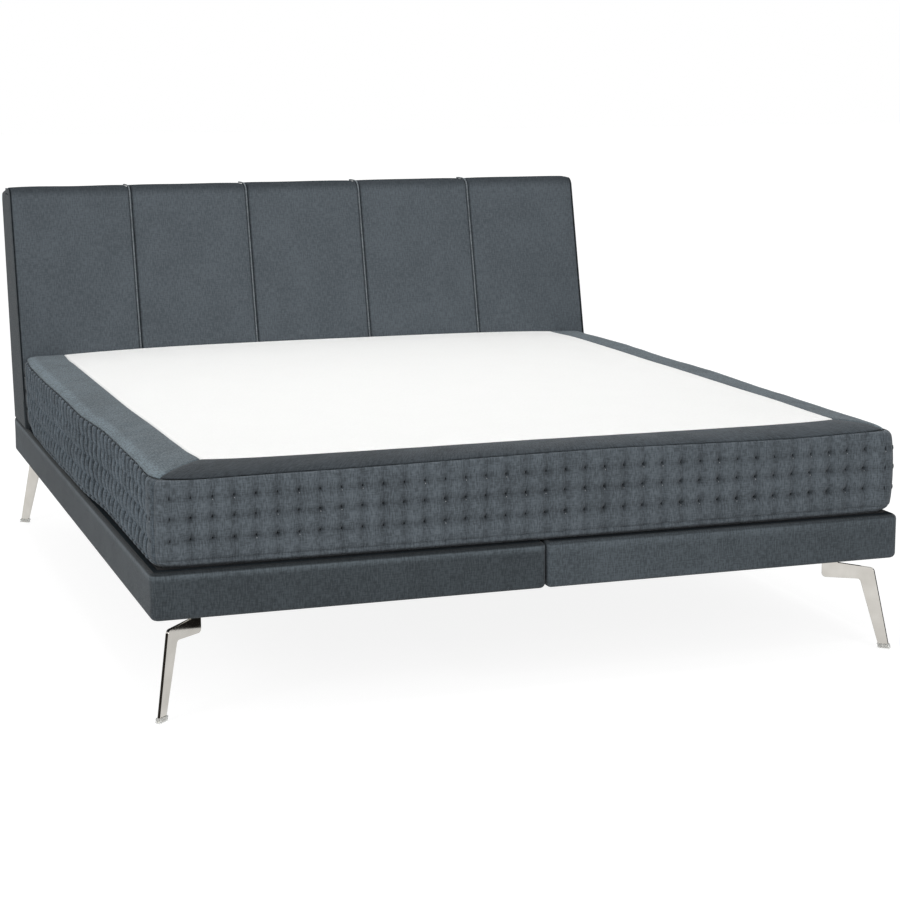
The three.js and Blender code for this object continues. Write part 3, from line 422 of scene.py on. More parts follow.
def woven(name, colour, streak=0.3, weave=0.9 * MM, across=False, bump=0.25, sheen=0.12, gloss=0.15,
          bands=(), painted_ribs=None, rows=None):
    """Woven cloth: streaks of stretched noise along the threads, a soft mottle, and a weave bump.

    The weave's height is the product of two sine waves across and along the threads. Each of the bands
    (coordinate, start, end, shade before, shade after) paints light or shade on the cloth by its U, V or
    height Z: painted shade where it turns over an edge, and painted highlight on a roll or a lit stretch.
    painted_ribs is the U of the first gathered line, with the painted light between the lines and the
    painted shade on them. rows is the painted shade on the rows of tufts. A cloth that is seen at a grazing
    angle has its sheen and gloss at 0, because they would draw a light line along it."""
    material, shader, wire = new_material(name)
    uv = wire.node("ShaderNodeUVMap", {"uv_map": "cloth"}, {})
    threads = uv
    if across:
        threads = wire.node("ShaderNodeMapping", {}, {"Vector": uv, "Rotation": (0, 0, QUARTER)})

    def noise(size, detail):
        """Noise stretched by a number of waves to a metre across and along the threads."""
        placed = wire.node("ShaderNodeMapping", {}, {"Vector": threads, "Scale": (*size, 1.0)})
        return wire.node("ShaderNodeTexNoise", {"noise_dimensions": "2D"}, {
            "Vector": placed, "Scale": 1.0, "Detail": detail, "Roughness": NOISE_ROUGHNESS})

    def coordinate(letter):
        """U or V of the cloth, or the height Z on the piece."""
        place = object_place(wire) if letter == "Z" else uv
        return wire.node("ShaderNodeSeparateXYZ", {}, {"Vector": place}, COORDINATES[letter])

    def shaded(tone, value, *step):
        """The colour times a shade that follows the value by an eased step."""
        over = value.ramp(*step, smooth=True)
        return wire.node("ShaderNodeVectorMath", {"operation": "SCALE"}, {"Vector": tone, "Scale": over})

    def wave(letter):
        """The weave's sine wave along U or V."""
        return wire.math("SINE", coordinate(letter) * (math.tau / weave))

    upright, level, mottle = noise(*UPRIGHT_SLUBS), noise(*LEVEL_SLUBS), noise(*MOTTLE)
    factor = upright * UPRIGHT_SHARE + level * LEVEL_SHARE + mottle * MOTTLE_SHARE
    tone = varied(wire, factor.ramp(*NOISE_RANGE), colour, streak)
    for letter, *step in bands:
        tone = shaded(tone, coordinate(letter), *step)
    if painted_ribs is not None:
        first, between, on_line = painted_ribs
        fold = wire.math("COSINE", (coordinate("U") - first) * (math.tau / TUFT_PITCH))
        tone = shaded(tone, fold * coordinate("U").ramp(*FOLD_SHADE_START), *FOLD_SHADE_RANGE, between, on_line)
    if rows is not None:
        for drop in TUFT_DROPS:
            tone = shaded(tone, wire.math("ABSOLUTE", coordinate("V") + drop), 0.0, ROW_SHADE_REACH, rows, 1.0)
    rough = wire.node("ShaderNodeBump", {}, {"Strength": bump, "Distance": WEAVE_HEIGHT,
                                             "Height": wave("U") * wave("V") + upright * SLUB_HEIGHT})
    feed(shader, Base_Color=tone, Roughness=CLOTH_ROUGHNESS, Normal=rough, Sheen_Weight=sheen,
         Sheen_Roughness=SHEEN_ROUGHNESS, Specular_IOR_Level=gloss)
    return material


# %% [markdown]
# The same cloth wears a different painted shade in each place it is used. There are lighter and darker
# copies of its colour for how the lamps fall on each face. Bands that follow the piece add painted shade
# where it turns over an edge or away from the light, and painted highlight where it catches the light.

# %% Cloths of the bed
# U of the first tuft of each of SIDES, from the middle of the corner that the side is measured from
FIRST_TUFT = (30.6 * MM, 3.3 * MM, 20 * MM, 18.1 * MM)
# heights below the plinths' top between which the painted light changes: a painted highlight under the
# edge, and painted shade over it and on the top
UNDER_EDGE, OVER_EDGE, ON_TOP = 9 * MM, (10 * MM, 5 * MM), (3 * MM, 0.5 * MM)
# the painted shade on the plinths' top, as a share of the colour
TOP_SHADE = 0.5
# colour, streaks, and the painted light between the gathered lines, the painted shade on them and on the
# rows of tufts. The two colours are lighter and darker copies of one cloth, for how the lamps fall on the
# short and long sides.
SHORT_BORDER = ((0.103, 0.121, 0.137), 0.3, 1.05, 0.9, 0.86)
LONG_BORDER = ((0.070, 0.087, 0.102), 0.4, 1.45, 0.42, None)


def plinth_cloth(side, colour, reach, highlight_under_edge, shade_over_edge, along):
    """Painted light on the plinths' cloth: a painted highlight below the upper edge, painted shade where it
    turns over it, and the darkest painted shade on the top. along is a band of painted light in U, along
    the side that each face looks to."""
    return woven(f"{side} plinth cloth", colour, streak=0.26, bands=(
        ("Z", PLINTH_TOP - reach, PLINTH_TOP - UNDER_EDGE, 1.0, highlight_under_edge),
        ("Z", PLINTH_TOP - OVER_EDGE[0], PLINTH_TOP - OVER_EDGE[1], 1.0, shade_over_edge),
        ("Z", PLINTH_TOP - ON_TOP[0], PLINTH_TOP - ON_TOP[1], 1.0, TOP_SHADE), along))


def border_cloth(side):
    """The long sides' strip is gathered, so its upright folds are deep. Its cloth has strong painted light
    between them and painted shade on them, but no painted shade on its rows.
    """
    colour, streak, between, on_line, rows = LONG_BORDER if side in (RIGHT, LEFT) else SHORT_BORDER
    return woven(f"border cloth, {SIDES[side]} side", colour, streak,
                 painted_ribs=(FIRST_TUFT[side], between, on_line), rows=rows)


# painted light: the two plinths wear a darker and a lighter copy of one cloth for how the lamps fall on
# them, each with a painted gradient along U
plinth_cloths = {
    "left": plinth_cloth("left", (0.056, 0.067, 0.075), 24 * MM, 1.8, 0.27, ("U", 0.2, 1.0, 1.0, 1.24)),
    "right": plinth_cloth("right", (0.073, 0.087, 0.098), 34 * MM, 1.26, 0.57, ("U", 0.0, 0.9, 1.17, 0.97))}
# painted shade: the top cloth is dark and matt, and stands for the box's shadow on the plinths' top
plinth_top_shade_cloth = woven("plinth top cloth in painted shade", (0.026, 0.032, 0.037), streak=0.2, sheen=0.0, gloss=0.0)
border_cloths = [border_cloth(side) for side in range(len(SIDES))]
# painted light: the foot rim is a darker copy of the side rims' cloth, with a painted gradient lighter to
# the right. The side rims are painted lighter towards the head, with a painted highlight on the roll beside
# the outer seam and painted shade in that seam.
rim_foot_cloth = woven("rim cloth at the foot", (0.044, 0.053, 0.061), bands=(("U", 0.0, 1.4, 0.83, 1.18),))
rim_side_cloth = woven("rim cloth at the sides", (0.090, 0.114, 0.129), streak=0.36, across=True, bands=(
    ("U", 0.9, 1.8, 1.0, 1.14), ("V", 20 * MM, 38 * MM, 1.45, 1.0), ("V", 0.0, 6 * MM, 0.75, 1.0)))
# painted shade: the headboard's body and side edges wear a darker copy of the panels' cloth, set against
# the key lamp that falls on its side
headboard_cloth = woven("headboard cloth", (0.052, 0.063, 0.071), streak=0.22)
piping_cloth = woven("piping cloth", (0.15, 0.17, 0.185), weave=0.7 * MM)
white_cloth = woven("white ticking", (0.96, 0.962, 0.95), streak=0.015, weave=1.4 * MM, sheen=0.1)
# the tuft stitches' near black is partly the thread's own and partly painted shade in the dimple, and the
# knots' pale colour is a painted glint of thread catching the light
thread_and_dimple_shade = woven("tuft thread", (0.018, 0.021, 0.025), weave=0.5 * MM)
knot_thread_glint = woven("knot thread", (0.42, 0.44, 0.46), weave=0.5 * MM)
print("cloths", [material.name for material in bpy.data.materials if material.name.count("cloth")])

# %% [markdown]
# The box's plan outline is a rounded rectangle whose head end leans back with the headboard. The long
# sides bow out a little, as a border does that is pulled tight over springs, and the seam on top of the
# border was sewn by hand, so it isn't quite level. Both follow a few measured places with eased steps.

# %% Outline of the box
# shares of a side's length, and how far the side stands out or the seam lies high there in millimetres
LEFT_BOW = ((0, 0.3, 0.48, 0.75, 0.9, 1), (-1, -3, 11, 14, 11, 0))
FOOT_BOW, RIGHT_BOW, HEAD_BOW = 4 * MM, 10 * MM, 0.0
SEAM_SAGS = {FOOT: ((0, 0.05, 0.17, 0.58, 0.85, 1), (-5, -7.5, -5.5, 2, -4, 0)),
             RIGHT: ((0, 0.3, 0.7, 1), (-1.5, 0, 4, 0)),
             HEAD: ((0, 1), (0, 0)),
             LEFT: ((0, 0.03, 0.12, 1), (-5, -4.5, 0, 0))}
SEAM_WAVE, SEAM_WAVELENGTH = 1.6 * MM, 0.55


def corner_arcs(side, end_sweep):
    """Radii of a side's first and last corner, and how far the side turns round each of them. end_sweep
    is the turn at the head corner of a long side."""
    radii = (FOOT_CORNER, FOOT_CORNER, HEAD_CORNER, HEAD_CORNER)
    sweeps = (end_sweep, QUARTER / 2) if side == LEFT else (QUARTER / 2, end_sweep)
    return radii[side], radii[(side + 1) % len(SIDES)], *sweeps


def side_bow(side, share):
    """How far a side stands out at a share of its length: half a sine wave, but for the left side, which
    is fullest past its middle."""
    if side == LEFT:
        return soft_steps(share, *LEFT_BOW)
    return (FOOT_BOW, RIGHT_BOW, HEAD_BOW)[side] * np.sin(math.pi * np.clip(share, 0, 1))


def side_length(side, z, end_sweep=QUARTER / 2):
    """Length of one side of the outline, from the middle of one corner's round to that of the next."""
    first, last, first_sweep, last_sweep = corner_arcs(side, end_sweep)
    span = 2 * BOX_HALF if side in (FOOT, HEAD) else box_head(z) - BOX_FOOT
    return span - first - last + first * first_sweep + last * last_sweep


def outline_at(side, along, z, end_sweep=QUARTER / 2):
    """Points of the outline and their outward directions.

    along is in metres from the middle of the side's first corner, or on the left side, where the
    first corner is at the head, from its last. The corner arcs turn the outward direction by
    arc / radius, and between them the point moves straight on, plus the side's bow."""
    first, last, first_sweep, last_sweep = corner_arcs(side, end_sweep)
    length = side_length(side, z, end_sweep)
    if side == LEFT:
        along = length - along
    arc = first * first_sweep
    run = length - arc - last * last_sweep
    straight = np.clip(along - arc, 0, run)
    turn = np.minimum(along - arc, 0) / first + np.maximum(along - arc - run, 0) / last
    radius = np.where(along - arc > run, last, first)
    facing = (side - 1) * QUARTER
    outward = np.array([math.cos(facing), math.sin(facing)])
    onward = np.array([-outward[1], outward[0]])
    corner_x = (-BOX_HALF, BOX_HALF, BOX_HALF, -BOX_HALF)[side]
    corner_y = (BOX_FOOT, BOX_FOOT, box_head(z), box_head(z))[side]
    bow = side_bow(side, 1 - along / length if side == LEFT else along / length)
    normal_x, normal_y = np.cos(facing + turn), np.sin(facing + turn)
    x = corner_x + onward[0] * (straight + first) + radius * (normal_x - outward[0]) + bow * outward[0]
    y = corner_y + onward[1] * (straight + first) + radius * (normal_y - outward[1]) + bow * outward[1]
    shape = np.broadcast(x, y, z).shape
    point = np.stack([np.broadcast_to(c, shape) for c in (x, y, z)], -1)
    normal = np.stack([np.broadcast_to(c, shape) for c in (normal_x, normal_y, 0.0)], -1)
    return point, normal


def seam_sag(side, along):
    """How far the top seam lies above its level line: eased steps, and on three sides a random wave that
    fades towards both corners as half a sine wave."""
    share = along / side_length(side, SEAM_Z)
    sag = soft_steps(share, *SEAM_SAGS[side])
    if side == FOOT:
        return sag
    wave = SEAM_WAVE * ripple(along, 0.0, SEAM_WAVELENGTH, SEEDS["seam"] + side)
    return wave * np.sin(math.pi * np.clip(share, 0, 1)) + sag


def near_corner(along, length, reach):
    """1 at both ends of a side, falling off as a bell."""
    return bell(np.clip(np.minimum(along, length - along), 0, None), reach)


print("length of the sides", {name: round(side_length(side, SEAM_Z), 4) for side, name in enumerate(SIDES)})

# %% [markdown]
# The border is a quilted strip. Threads pull it in at three rows of tufts, 49 mm apart, so that it
# stands out in soft puffs between them. A simulation would lose such small seams in its remesh, so the
# relief is a formula: it adds the puffs, the hollow of each upright line, tuft and seam, and small creases.

# %% Relief of the border
HEM_SEAM = 13 * MM
# the level seams and rows, from the top down, and how deep the cloth is drawn in along each
PUFF_LEVELS = np.array([SEAM_Z, *[SEAM_Z - drop for drop in TUFT_DROPS], BORDER_UNDER + HEM_SEAM])
PUFF_DEPTHS = np.array([2.4, 3.4, 7.4, 8.2, 4.2]) * MM
# the puffs' depth between the tufts' upright lines, as a share of that on the lines
BETWEEN_LINES = 0.62
LINE_DEPTH, LINE_WIDTH, CHANNEL_DEPTH = 1.3 * MM, 4 * MM, 0.7 * MM
# the long sides' strip is gathered, and its upright channels are deeper
LONG_GATHER, SHORT_GATHER = 4.2, 1.35
DIMPLE_DEPTH, DIMPLE_WIDTH, DIMPLE_UP, DIMPLE_DOWN = 8.5 * MM, 5.2 * MM, 12 * MM, 4.5 * MM
DIMPLE_POWER = 1.3
# the weakest and the strongest pull of a tuft's thread, and more tufts than a row has
PULLS, TUFT_LIMIT = (0.7, 1.25), 60
# the small creases change this much slower upwards than along the side
CREASE_HEIGHT, CREASE_LENGTH, CREASE_STRETCH = 0.28 * MM, 17 * MM, 0.5
WAVE_HEIGHT, WAVE_LENGTH = 0.6 * MM, 95 * MM
TIGHT_REACH = 42 * MM
CORNER_SWELL, CORNER_SWELL_RIGHT = 7 * MM, 12 * MM
SEAM_HOLLOW, SEAM_WIDTH = 3.0 * MM, 1.6 * MM
HEM_HOLLOW, HEM_WIDTH = 3.4 * MM, 2.2 * MM


def puff_depth(z):
    """Depth of the puffs' section: a parabola between each two levels, with its top at no depth."""
    i = np.clip(np.searchsorted(-PUFF_LEVELS, -z) - 1, 0, len(PUFF_LEVELS) - 2)
    share = np.clip((PUFF_LEVELS[i] - z) / (PUFF_LEVELS[i] - PUFF_LEVELS[i + 1]), 0, 1)
    first, last = PUFF_DEPTHS[i], PUFF_DEPTHS[i + 1]
    return first * (1 - share) + last * share - 2 * (first + last) * share * (1 - share)


def corner_swell(side, along, length):
    """How far the border's corners stand out. The foot's right corner, the last one of the foot side and
    the first one of the right side, stands out furthest."""
    if side not in (FOOT, RIGHT):
        return CORNER_SWELL
    in_last_half = along > length / 2
    return np.where(in_last_half == (side == FOOT), CORNER_SWELL_RIGHT, CORNER_SWELL)


def tuft_depth(along, z, side):
    """How far the border's cloth is drawn in. The puffs are full depth on the tufts' lines and about two
    thirds between them. A dimple is exp(-r^DIMPLE_POWER) of its depth, with r the distance over its width
    and its reach, which is longer up than down, and each tuft pulls its own way. At the corners the
    border is tight, so it shows no relief there, and stands out at half height."""
    length = side_length(side, SEAM_Z)
    place = (along - FIRST_TUFT[side]) / TUFT_PITCH
    index = np.round(place)
    aside = (place - index) * TUFT_PITCH
    on_line = np.cos(math.pi * place) ** 2
    gather = LONG_GATHER if side in (RIGHT, LEFT) else SHORT_GATHER
    pull = np.random.default_rng(SEEDS["pulls"] + side).uniform(*PULLS, (TUFT_LIMIT, len(TUFT_DROPS)))
    depth = puff_depth(z) * (BETWEEN_LINES + (1 - BETWEEN_LINES) * on_line)
    depth = depth + gather * (LINE_DEPTH * crease(aside, LINE_WIDTH) + CHANNEL_DEPTH * (2 * on_line - 1))
    for row, drop in enumerate(TUFT_DROPS):
        height = z - (SEAM_Z - drop)
        strength = pull[np.clip(index.astype(int), 0, TUFT_LIMIT - 1), row]
        reach = np.where(height > 0, DIMPLE_UP, DIMPLE_DOWN)
        dimple = np.exp(-np.hypot(aside / DIMPLE_WIDTH, height / reach) ** DIMPLE_POWER)
        depth = depth + DIMPLE_DEPTH * strength * dimple
    creases = ripple(along, z * CREASE_STRETCH, CREASE_LENGTH, SEEDS["creases"] + side)
    waves = ripple(along, z, WAVE_LENGTH, SEEDS["waves"] + side)
    depth = depth + CREASE_HEIGHT * creases + WAVE_HEIGHT * waves
    corner = near_corner(along, length, TIGHT_REACH)
    share = np.clip((z - BORDER_UNDER) / (SEAM_Z - BORDER_UNDER), 0, 1)
    swell = corner_swell(side, along, length) * corner * np.sqrt(4 * share * (1 - share))
    depth = depth * (1 - corner) - swell + SEAM_HOLLOW * crease(SEAM_Z - z, SEAM_WIDTH)
    return depth + HEM_HOLLOW * crease(z - BORDER_UNDER - HEM_SEAM, HEM_WIDTH)


print("heights of the border's seams and rows", PUFF_LEVELS.round(4).tolist())

# %% [markdown]
# Each side of the border is one piece: a section that comes down from the seam, rolls in at the hem,
# turns under the frame and goes up again inside. It is carried along the outline, and its ends meet the
# next side's in the middle of the corner.

# %% Sides of the border
HEM_ROUND, HEM_CORNER_ROUND, HEM_CORNER_REACH = 11 * MM, 7 * MM, 50 * MM
SEAM_ROUND, SEAM_CORNER_ROUND, SEAM_CORNER_REACH = 3 * MM, 11 * MM, 40 * MM
# the last stretch before the head, over which the columns come to lean with it
LEAN_RUN = 0.25
# columns stand at these shares of the pitch between two tufts, and not closer than END_GAP to an end
COLUMN_SHARES = (0, 0.035, 0.075, 0.125, 0.2, 0.3, 0.4, 0.5, 0.6, 0.7, 0.8, 0.875, 0.925, 0.965)
END_GAP = 1.5 * MM
PUFF_ROWS, HEM_ROWS = 18, 12
# the top row starts a little under the seam's line, where the rim covers it
TOP_STEP = 0.6 * MM
# how far down the strip turns under the frame, to the black cloth, and its step in behind the lip
TURN_UNDER, LIP_STEP = 3.6 * MM, 2 * MM
# the strip's way down from the seam to its points under the frame and inside, for its V
BACK_V = (0.215, 0.225, 0.40, 0.41)


def stretch_along(side, along, z, length):
    """Keeps columns upright: only the last stretch before the head corner follows the box's lean."""
    if side in (FOOT, HEAD):
        return along
    return along + (side_length(side, z) - length) * ease((along - (length - LEAN_RUN)) / LEAN_RUN)


def seam_radius(along, length):
    """Radius with which the border turns in to its top seam."""
    return SEAM_ROUND + SEAM_CORNER_ROUND * near_corner(along, length, SEAM_CORNER_REACH)


def hem_radius(along, length):
    """Radius with which the border turns in at its lower edge."""
    return HEM_ROUND + HEM_CORNER_ROUND * near_corner(along, length, HEM_CORNER_REACH)


def edge_tuck(along, z, length):
    """How far the lower edge and the top edge are rolled in: quarter circles, wider at the corners.
    At height h under the radius R it is R - sqrt(R^2 - (R - h)^2)."""
    tuck = 0.0
    edges = ((hem_radius(along, length), z - BORDER_UNDER), (seam_radius(along, length), SEAM_Z - z))
    for radius, height in edges:
        over = np.clip(radius - height, 0, radius)
        tuck = tuck + radius - np.sqrt(radius ** 2 - over ** 2)
    return tuck


def lift_with_seam(points, side, along):
    """Stretches the border upwards to the seam's own height, in proportion to the height above the hem."""
    share = (points[..., 2] - BORDER_UNDER) / (SEAM_Z - BORDER_UNDER)
    points[..., 2] += seam_sag(side, along) * share
    return points


def build_border(name, side):
    """The outline drawn in by the edge's tuck and the tufts' depth. Its columns crowd towards the tufts'
    lines and its rows towards the seams, as half a cosine wave, where the cloth turns."""
    length = side_length(side, SEAM_Z)
    tufts = np.arange(-2, length / TUFT_PITCH + 2)[:, None]
    along = FIRST_TUFT[side] + TUFT_PITCH * (tufts + COLUMN_SHARES).ravel()
    inner = along[(along > END_GAP) & (along < length - END_GAP)]
    along = np.concatenate([[0], inner, [length]])[:, None]
    crowd = 0.5 - 0.5 * np.cos(np.linspace(0, math.pi, PUFF_ROWS + 1))[:-1]
    rows = [high + (low - high) * crowd for high, low in zip(PUFF_LEVELS[:-1], PUFF_LEVELS[1:])]
    z = np.concatenate([*rows, BORDER_UNDER + HEM_SEAM * (1 - np.sin(np.linspace(0, QUARTER, HEM_ROWS)))])
    z[0] -= TOP_STEP
    point, normal = outline_at(side, stretch_along(side, along, z[None], length), z[None])
    fade = np.clip((z - BORDER_UNDER) / HEM_SEAM, 0, 1)[None]
    inward = edge_tuck(along, z[None], length) + fade * tuft_depth(along, z[None], side)
    face = lift_with_seam(point - normal * inward[..., None], side, along)
    back_z = np.array([BORDER_UNDER - TURN_UNDER, BORDER_UNDER - TURN_UNDER, PAD_UNDER])[None]
    back, back_normal = outline_at(side, stretch_along(side, along, back_z, length), back_z)
    # the first of the three points is the lip's, the others stand behind the border
    lip = hem_radius(along, length) + LIP_STEP
    back = back - back_normal * (lip * [1, 0, 0] + BORDER_THICKNESS * np.array([0, 1, 1]))[..., None]
    v = -np.concatenate([SEAM_Z - z, BACK_V])
    return loft(name, np.concatenate([face, back], 1), border_cloths[side], uv_grid(along, v[None]))


borders = {name: build_border(f"border_{name}", side) for side, name in enumerate(SIDES)}
tell(borders.values())

# %% [markdown]
# Each tuft is held by a short upright stitch of thick thread that lies at the bottom of its dimple, with a
# paler knot under some of them. The stitch's dark colour also paints the shade in the dimple, and the
# knots' pale colour paints a glint of thread in the light. There are hundreds, so each is a spindle of a
# few dozen faces and all of one side are one piece.

# %% Tuft stitches
STITCH_SIZE, KNOT_SIZE = (12 * MM, 3.2 * MM), (3.2 * MM, 2.0 * MM)
# the share of a stitch that lies below its dimple's middle, and how many of its own lengths a knot's
# lower end hangs below it
STITCH_LOW, KNOT_LOW = 0.35, 2.2
KNOTS_KEPT = 0.4
STITCH_LIFT = 0.6 * MM
SPINDLE_RINGS, SPINDLE_POINTS = 6, 6
# from this share of its length to the end a spindle keeps its radius, so its ends are blunt
BLUNT = 0.12


def build_stitches(name, side, material, size, low, kept=1.0):
    """Small spindles of a length and a width, one in each dimple: rings of points along an upright line,
    with a radius that follows half a sine wave. low is the share of the length below the dimple, and
    kept the share of the tufts that have one."""
    length = side_length(side, SEAM_Z)
    count = int((length - FIRST_TUFT[side]) / TUFT_PITCH) + 1
    along = FIRST_TUFT[side] + TUFT_PITCH * np.arange(count)[:, None]
    z = SEAM_Z - np.array(TUFT_DROPS)[None] + (0.5 - low) * size[0]
    point, normal = outline_at(side, stretch_along(side, along, z, length), z)
    centre = point - normal * (tuft_depth(along, z, side) - STITCH_LIFT)[..., None]
    chosen = np.random.default_rng(SEEDS["knots"] + side).random(count * len(TUFT_DROPS)) < kept
    centre = lift_with_seam(centre, side, along).reshape(-1, 1, 1, 3)[chosen]
    outward = normal.reshape(-1, 1, 1, 3)[chosen]
    up = np.array([0.0, 0.0, 1.0])
    aside = np.cross(outward, up)
    t = np.linspace(0, 1, SPINDLE_RINGS)[None, :, None, None]
    angle = full_turn(SPINDLE_POINTS)[None, None, :, None]
    radius = size[1] / 2 * np.sin(math.pi * np.clip(t, BLUNT, 1 - BLUNT))
    points = centre + up * (t - 0.5) * size[0] + radius * (aside * np.cos(angle) + outward * np.sin(angle))
    quads, _, _ = grid_quads(SPINDLE_RINGS, SPINDLE_POINTS, wrap=True)
    spindle = SPINDLE_RINGS * SPINDLE_POINTS
    starts = np.arange(len(points)) * spindle
    loop = np.arange(SPINDLE_POINTS)
    caps = [cap + start for start in starts for cap in (loop[::-1], loop + spindle - SPINDLE_POINTS)]
    all_quads = (quads[None] + starts[:, None, None]).reshape(-1, 4)
    return finish_mesh(name, points, all_quads, None, caps, material)


stitches = {name: build_stitches(f"tuft_stitches_{name}", side, thread_and_dimple_shade, STITCH_SIZE, STITCH_LOW)
            for side, name in enumerate(SIDES)}
knots = {name: build_stitches(f"tuft_knots_{name}", side, knot_thread_glint, KNOT_SIZE, KNOT_LOW, KNOTS_KEPT)
         for side, name in enumerate(SIDES)}
tell([*stitches.values(), *knots.values()])

# %% [markdown]
# The white top is sewn to the cloth round it along a seam that isn't straight. It is pulled in at the
# foot corners, bows out along the sides, and sinks at the head, where the padding ends. The rim and the
# white panel both take their edge from the same few functions, so that they meet exactly.

# %% Seams round the white top
PANEL_HALF = BOX_HALF - RIM_SIDE_WIDTH
PANEL_FOOT = BOX_FOOT + RIM_FOOT_WIDTH
CORNER_PULL, CORNER_PULL_REACH = 24 * MM, 75 * MM
MIDDLE_PULL, MIDDLE_PULL_REACH = 5 * MM, 0.22
# shares of the length from the foot, and how far each side edge stands beyond PANEL_HALF in millimetres
PANEL_EDGES = {-1: ((0, 0.07, 0.17, 0.45, 0.9, 1), (-9, 0, 3, 12, 13, 3)),
               1: ((0, 0.2, 0.9, 1), (10, 18, 22, 13))}
# the top sinks at its head corners: the sign of their X, how deep, and how far across the bed
HEAD_DROPS = ((-1, 7 * MM, 0.3), (1, 4 * MM, 0.25))
HEAD_DROP_LENGTH = 0.16
HEAD_GAP = 0.5 * MM
panel_corner = PANEL_FOOT + CORNER_PULL
panel_head = box_head(SEAM_Z + RIM_CROWN) - HEAD_GAP


def head_drop(x, y):
    """How far the top sinks towards the head corners, where the padding ends: a bell round each."""
    near_head = bell(np.clip(panel_head - y, 0, None), HEAD_DROP_LENGTH)
    return near_head * sum(depth * bell(x - hand * PANEL_HALF, reach) for hand, depth, reach in HEAD_DROPS)


def panel_side(share, hand):
    """|X| of the white panel's side edge at a share of its length from the foot."""
    return PANEL_HALF + soft_steps(share, *PANEL_EDGES[hand])


def panel_x(across, along=0):
    """X at a share of the white panel's width, between its side edges at a share of its length."""
    left, right = -panel_side(along, -1), panel_side(along, 1)
    return left + (right - left) * across


def panel_foot(x):
    """Y of the white panel's foot edge. It is pulled in at both corners, as exp(-distance / reach), and
    a little in the middle, as a bell."""
    left, right = panel_x(0), panel_x(1)
    pull = np.exp(-(x - left) / CORNER_PULL_REACH) + np.exp(-(right - x) / CORNER_PULL_REACH)
    return PANEL_FOOT + CORNER_PULL * pull + MIDDLE_PULL * bell(x, MIDDLE_PULL_REACH)


print("white panel from", PANEL_FOOT, "to", panel_head, "half width", PANEL_HALF)

# %% [markdown]
# A rim of the same cloth as the border frames the white top on three sides. It starts at the border's
# seam with a small roll, rises over its padding, and ends in the seam with the white panel. At the foot
# corners the strips meet in mitres. A swept profile would cross itself there, so each strip is ruled
# between its two seams instead.

# %% Rim
# shares of the rim's width, close together in the roll beside the seam
ACROSS = np.concatenate([[0.0, 0.3, 0.8, 1.6, 2.6, 4.0, 6.0], np.linspace(9, 100, 26)]) / 100
RIM_STATIONS = 240
ROLL_WIDTH, ROLL, HEAD_ROLL = 8 * MM, 5 * MM, 11 * MM
INNER_HOLLOW, INNER_WIDTH = 2.0 * MM, 1.6 * MM
INNER_TUCK, INNER_TUCK_WIDTH = 4.0 * MM, 1.4 * MM
RIM_WAVE, RIM_WAVELENGTH = 0.9 * MM, 120 * MM
MITRE_HOLLOW, MITRE_WIDTH = 1.6 * MM, 2 * MM
# V of the loop's points under the rim, beyond its width
RIM_BACK_V = np.array([0.02, 0.13, 0.14])


def rim_height(a, width, roll):
    """Height of the rim at the distance a from its outer seam. It adds a roll beside the seam,
    roll (1 - exp(-a / ROLL_WIDTH)), and a slow rise to RIM_CROWN, 1 - (1 - a / width)^2 of the rest,
    less the hollow of the inner seam."""
    quick = 1 - np.exp(-a / ROLL_WIDTH)
    height = roll * quick[None] + (RIM_CROWN - roll) * (1 - (1 - a / width) ** 2)[None]
    return height - INNER_HOLLOW * crease(width - a, INNER_WIDTH)[None]


def build_rim(name, side, width, material):
    """Ruled between the outer seam and the panel's edge, with the profile in between. The roll of the
    side strips grows towards the head with the cube of the share of their length."""
    across_bed = side == FOOT
    sweep = QUARTER / 2 if across_bed else QUARTER
    length = side_length(side, SEAM_Z, sweep)
    along = np.linspace(0, length, RIM_STATIONS)
    level = np.full_like(along, SEAM_Z)
    outer, normal = outline_at(side, along, level, sweep)
    # a side strip is rounded at its foot corner alone, and the doubled length keeps its head end plain
    outer = outer - normal * seam_radius(along, length if across_bed else 2 * length)[:, None]
    share = along / length
    if across_bed:
        x = panel_x(share)
        y = panel_foot(x)
        roll = np.full((RIM_STATIONS, 1), ROLL)
    else:
        hand = 1 if side == RIGHT else -1
        x = hand * panel_side(share, hand)
        y = panel_corner + (panel_head - panel_corner) * share
        roll = (ROLL + HEAD_ROLL * share ** 3)[:, None]
    inner = np.column_stack([x, y, level])
    a = ACROSS * width
    height = rim_height(a, width, roll)
    tuck = INNER_TUCK * crease(a, INNER_TUCK_WIDTH)
    across = (a + tuck) / (width + tuck[-1])
    face = outer[:, None] + (inner - outer)[:, None] * across[None, :, None]
    face[..., 2] += seam_sag(side, along)[:, None] * (1 - across[None])
    mitre = np.minimum(along, length - along) if across_bed else along
    wave = RIM_WAVE * ripple(along[:, None], a[None], RIM_WAVELENGTH, SEEDS["rims"] + side)
    lift = height - head_drop(face[..., 0], face[..., 1]) * height / RIM_CROWN
    lift = lift + wave * np.sin(math.pi * ACROSS)[None]
    face[..., 2] += lift - MITRE_HOLLOW * crease(mitre, MITRE_WIDTH)[:, None]
    if not across_bed:
        face[..., 1] = np.minimum(face[..., 1], box_head(face[..., 2]) - PLAY)
    back = np.stack([face[:, -1], face[:, 0]], 1)
    back[..., 2] = PAD_UNDER
    v = np.concatenate([a, width + RIM_BACK_V])
    return loft(name, np.concatenate([face, back], 1), material, uv_grid(along[:, None], v[None]))


rims = {
    "foot": build_rim("rim_foot", FOOT, RIM_FOOT_WIDTH, rim_foot_cloth),
    "right": build_rim("rim_right", RIGHT, RIM_SIDE_WIDTH, rim_side_cloth),
    "left": build_rim("rim_left", LEFT, RIM_SIDE_WIDTH, rim_side_cloth),
}
tell(rims.values())

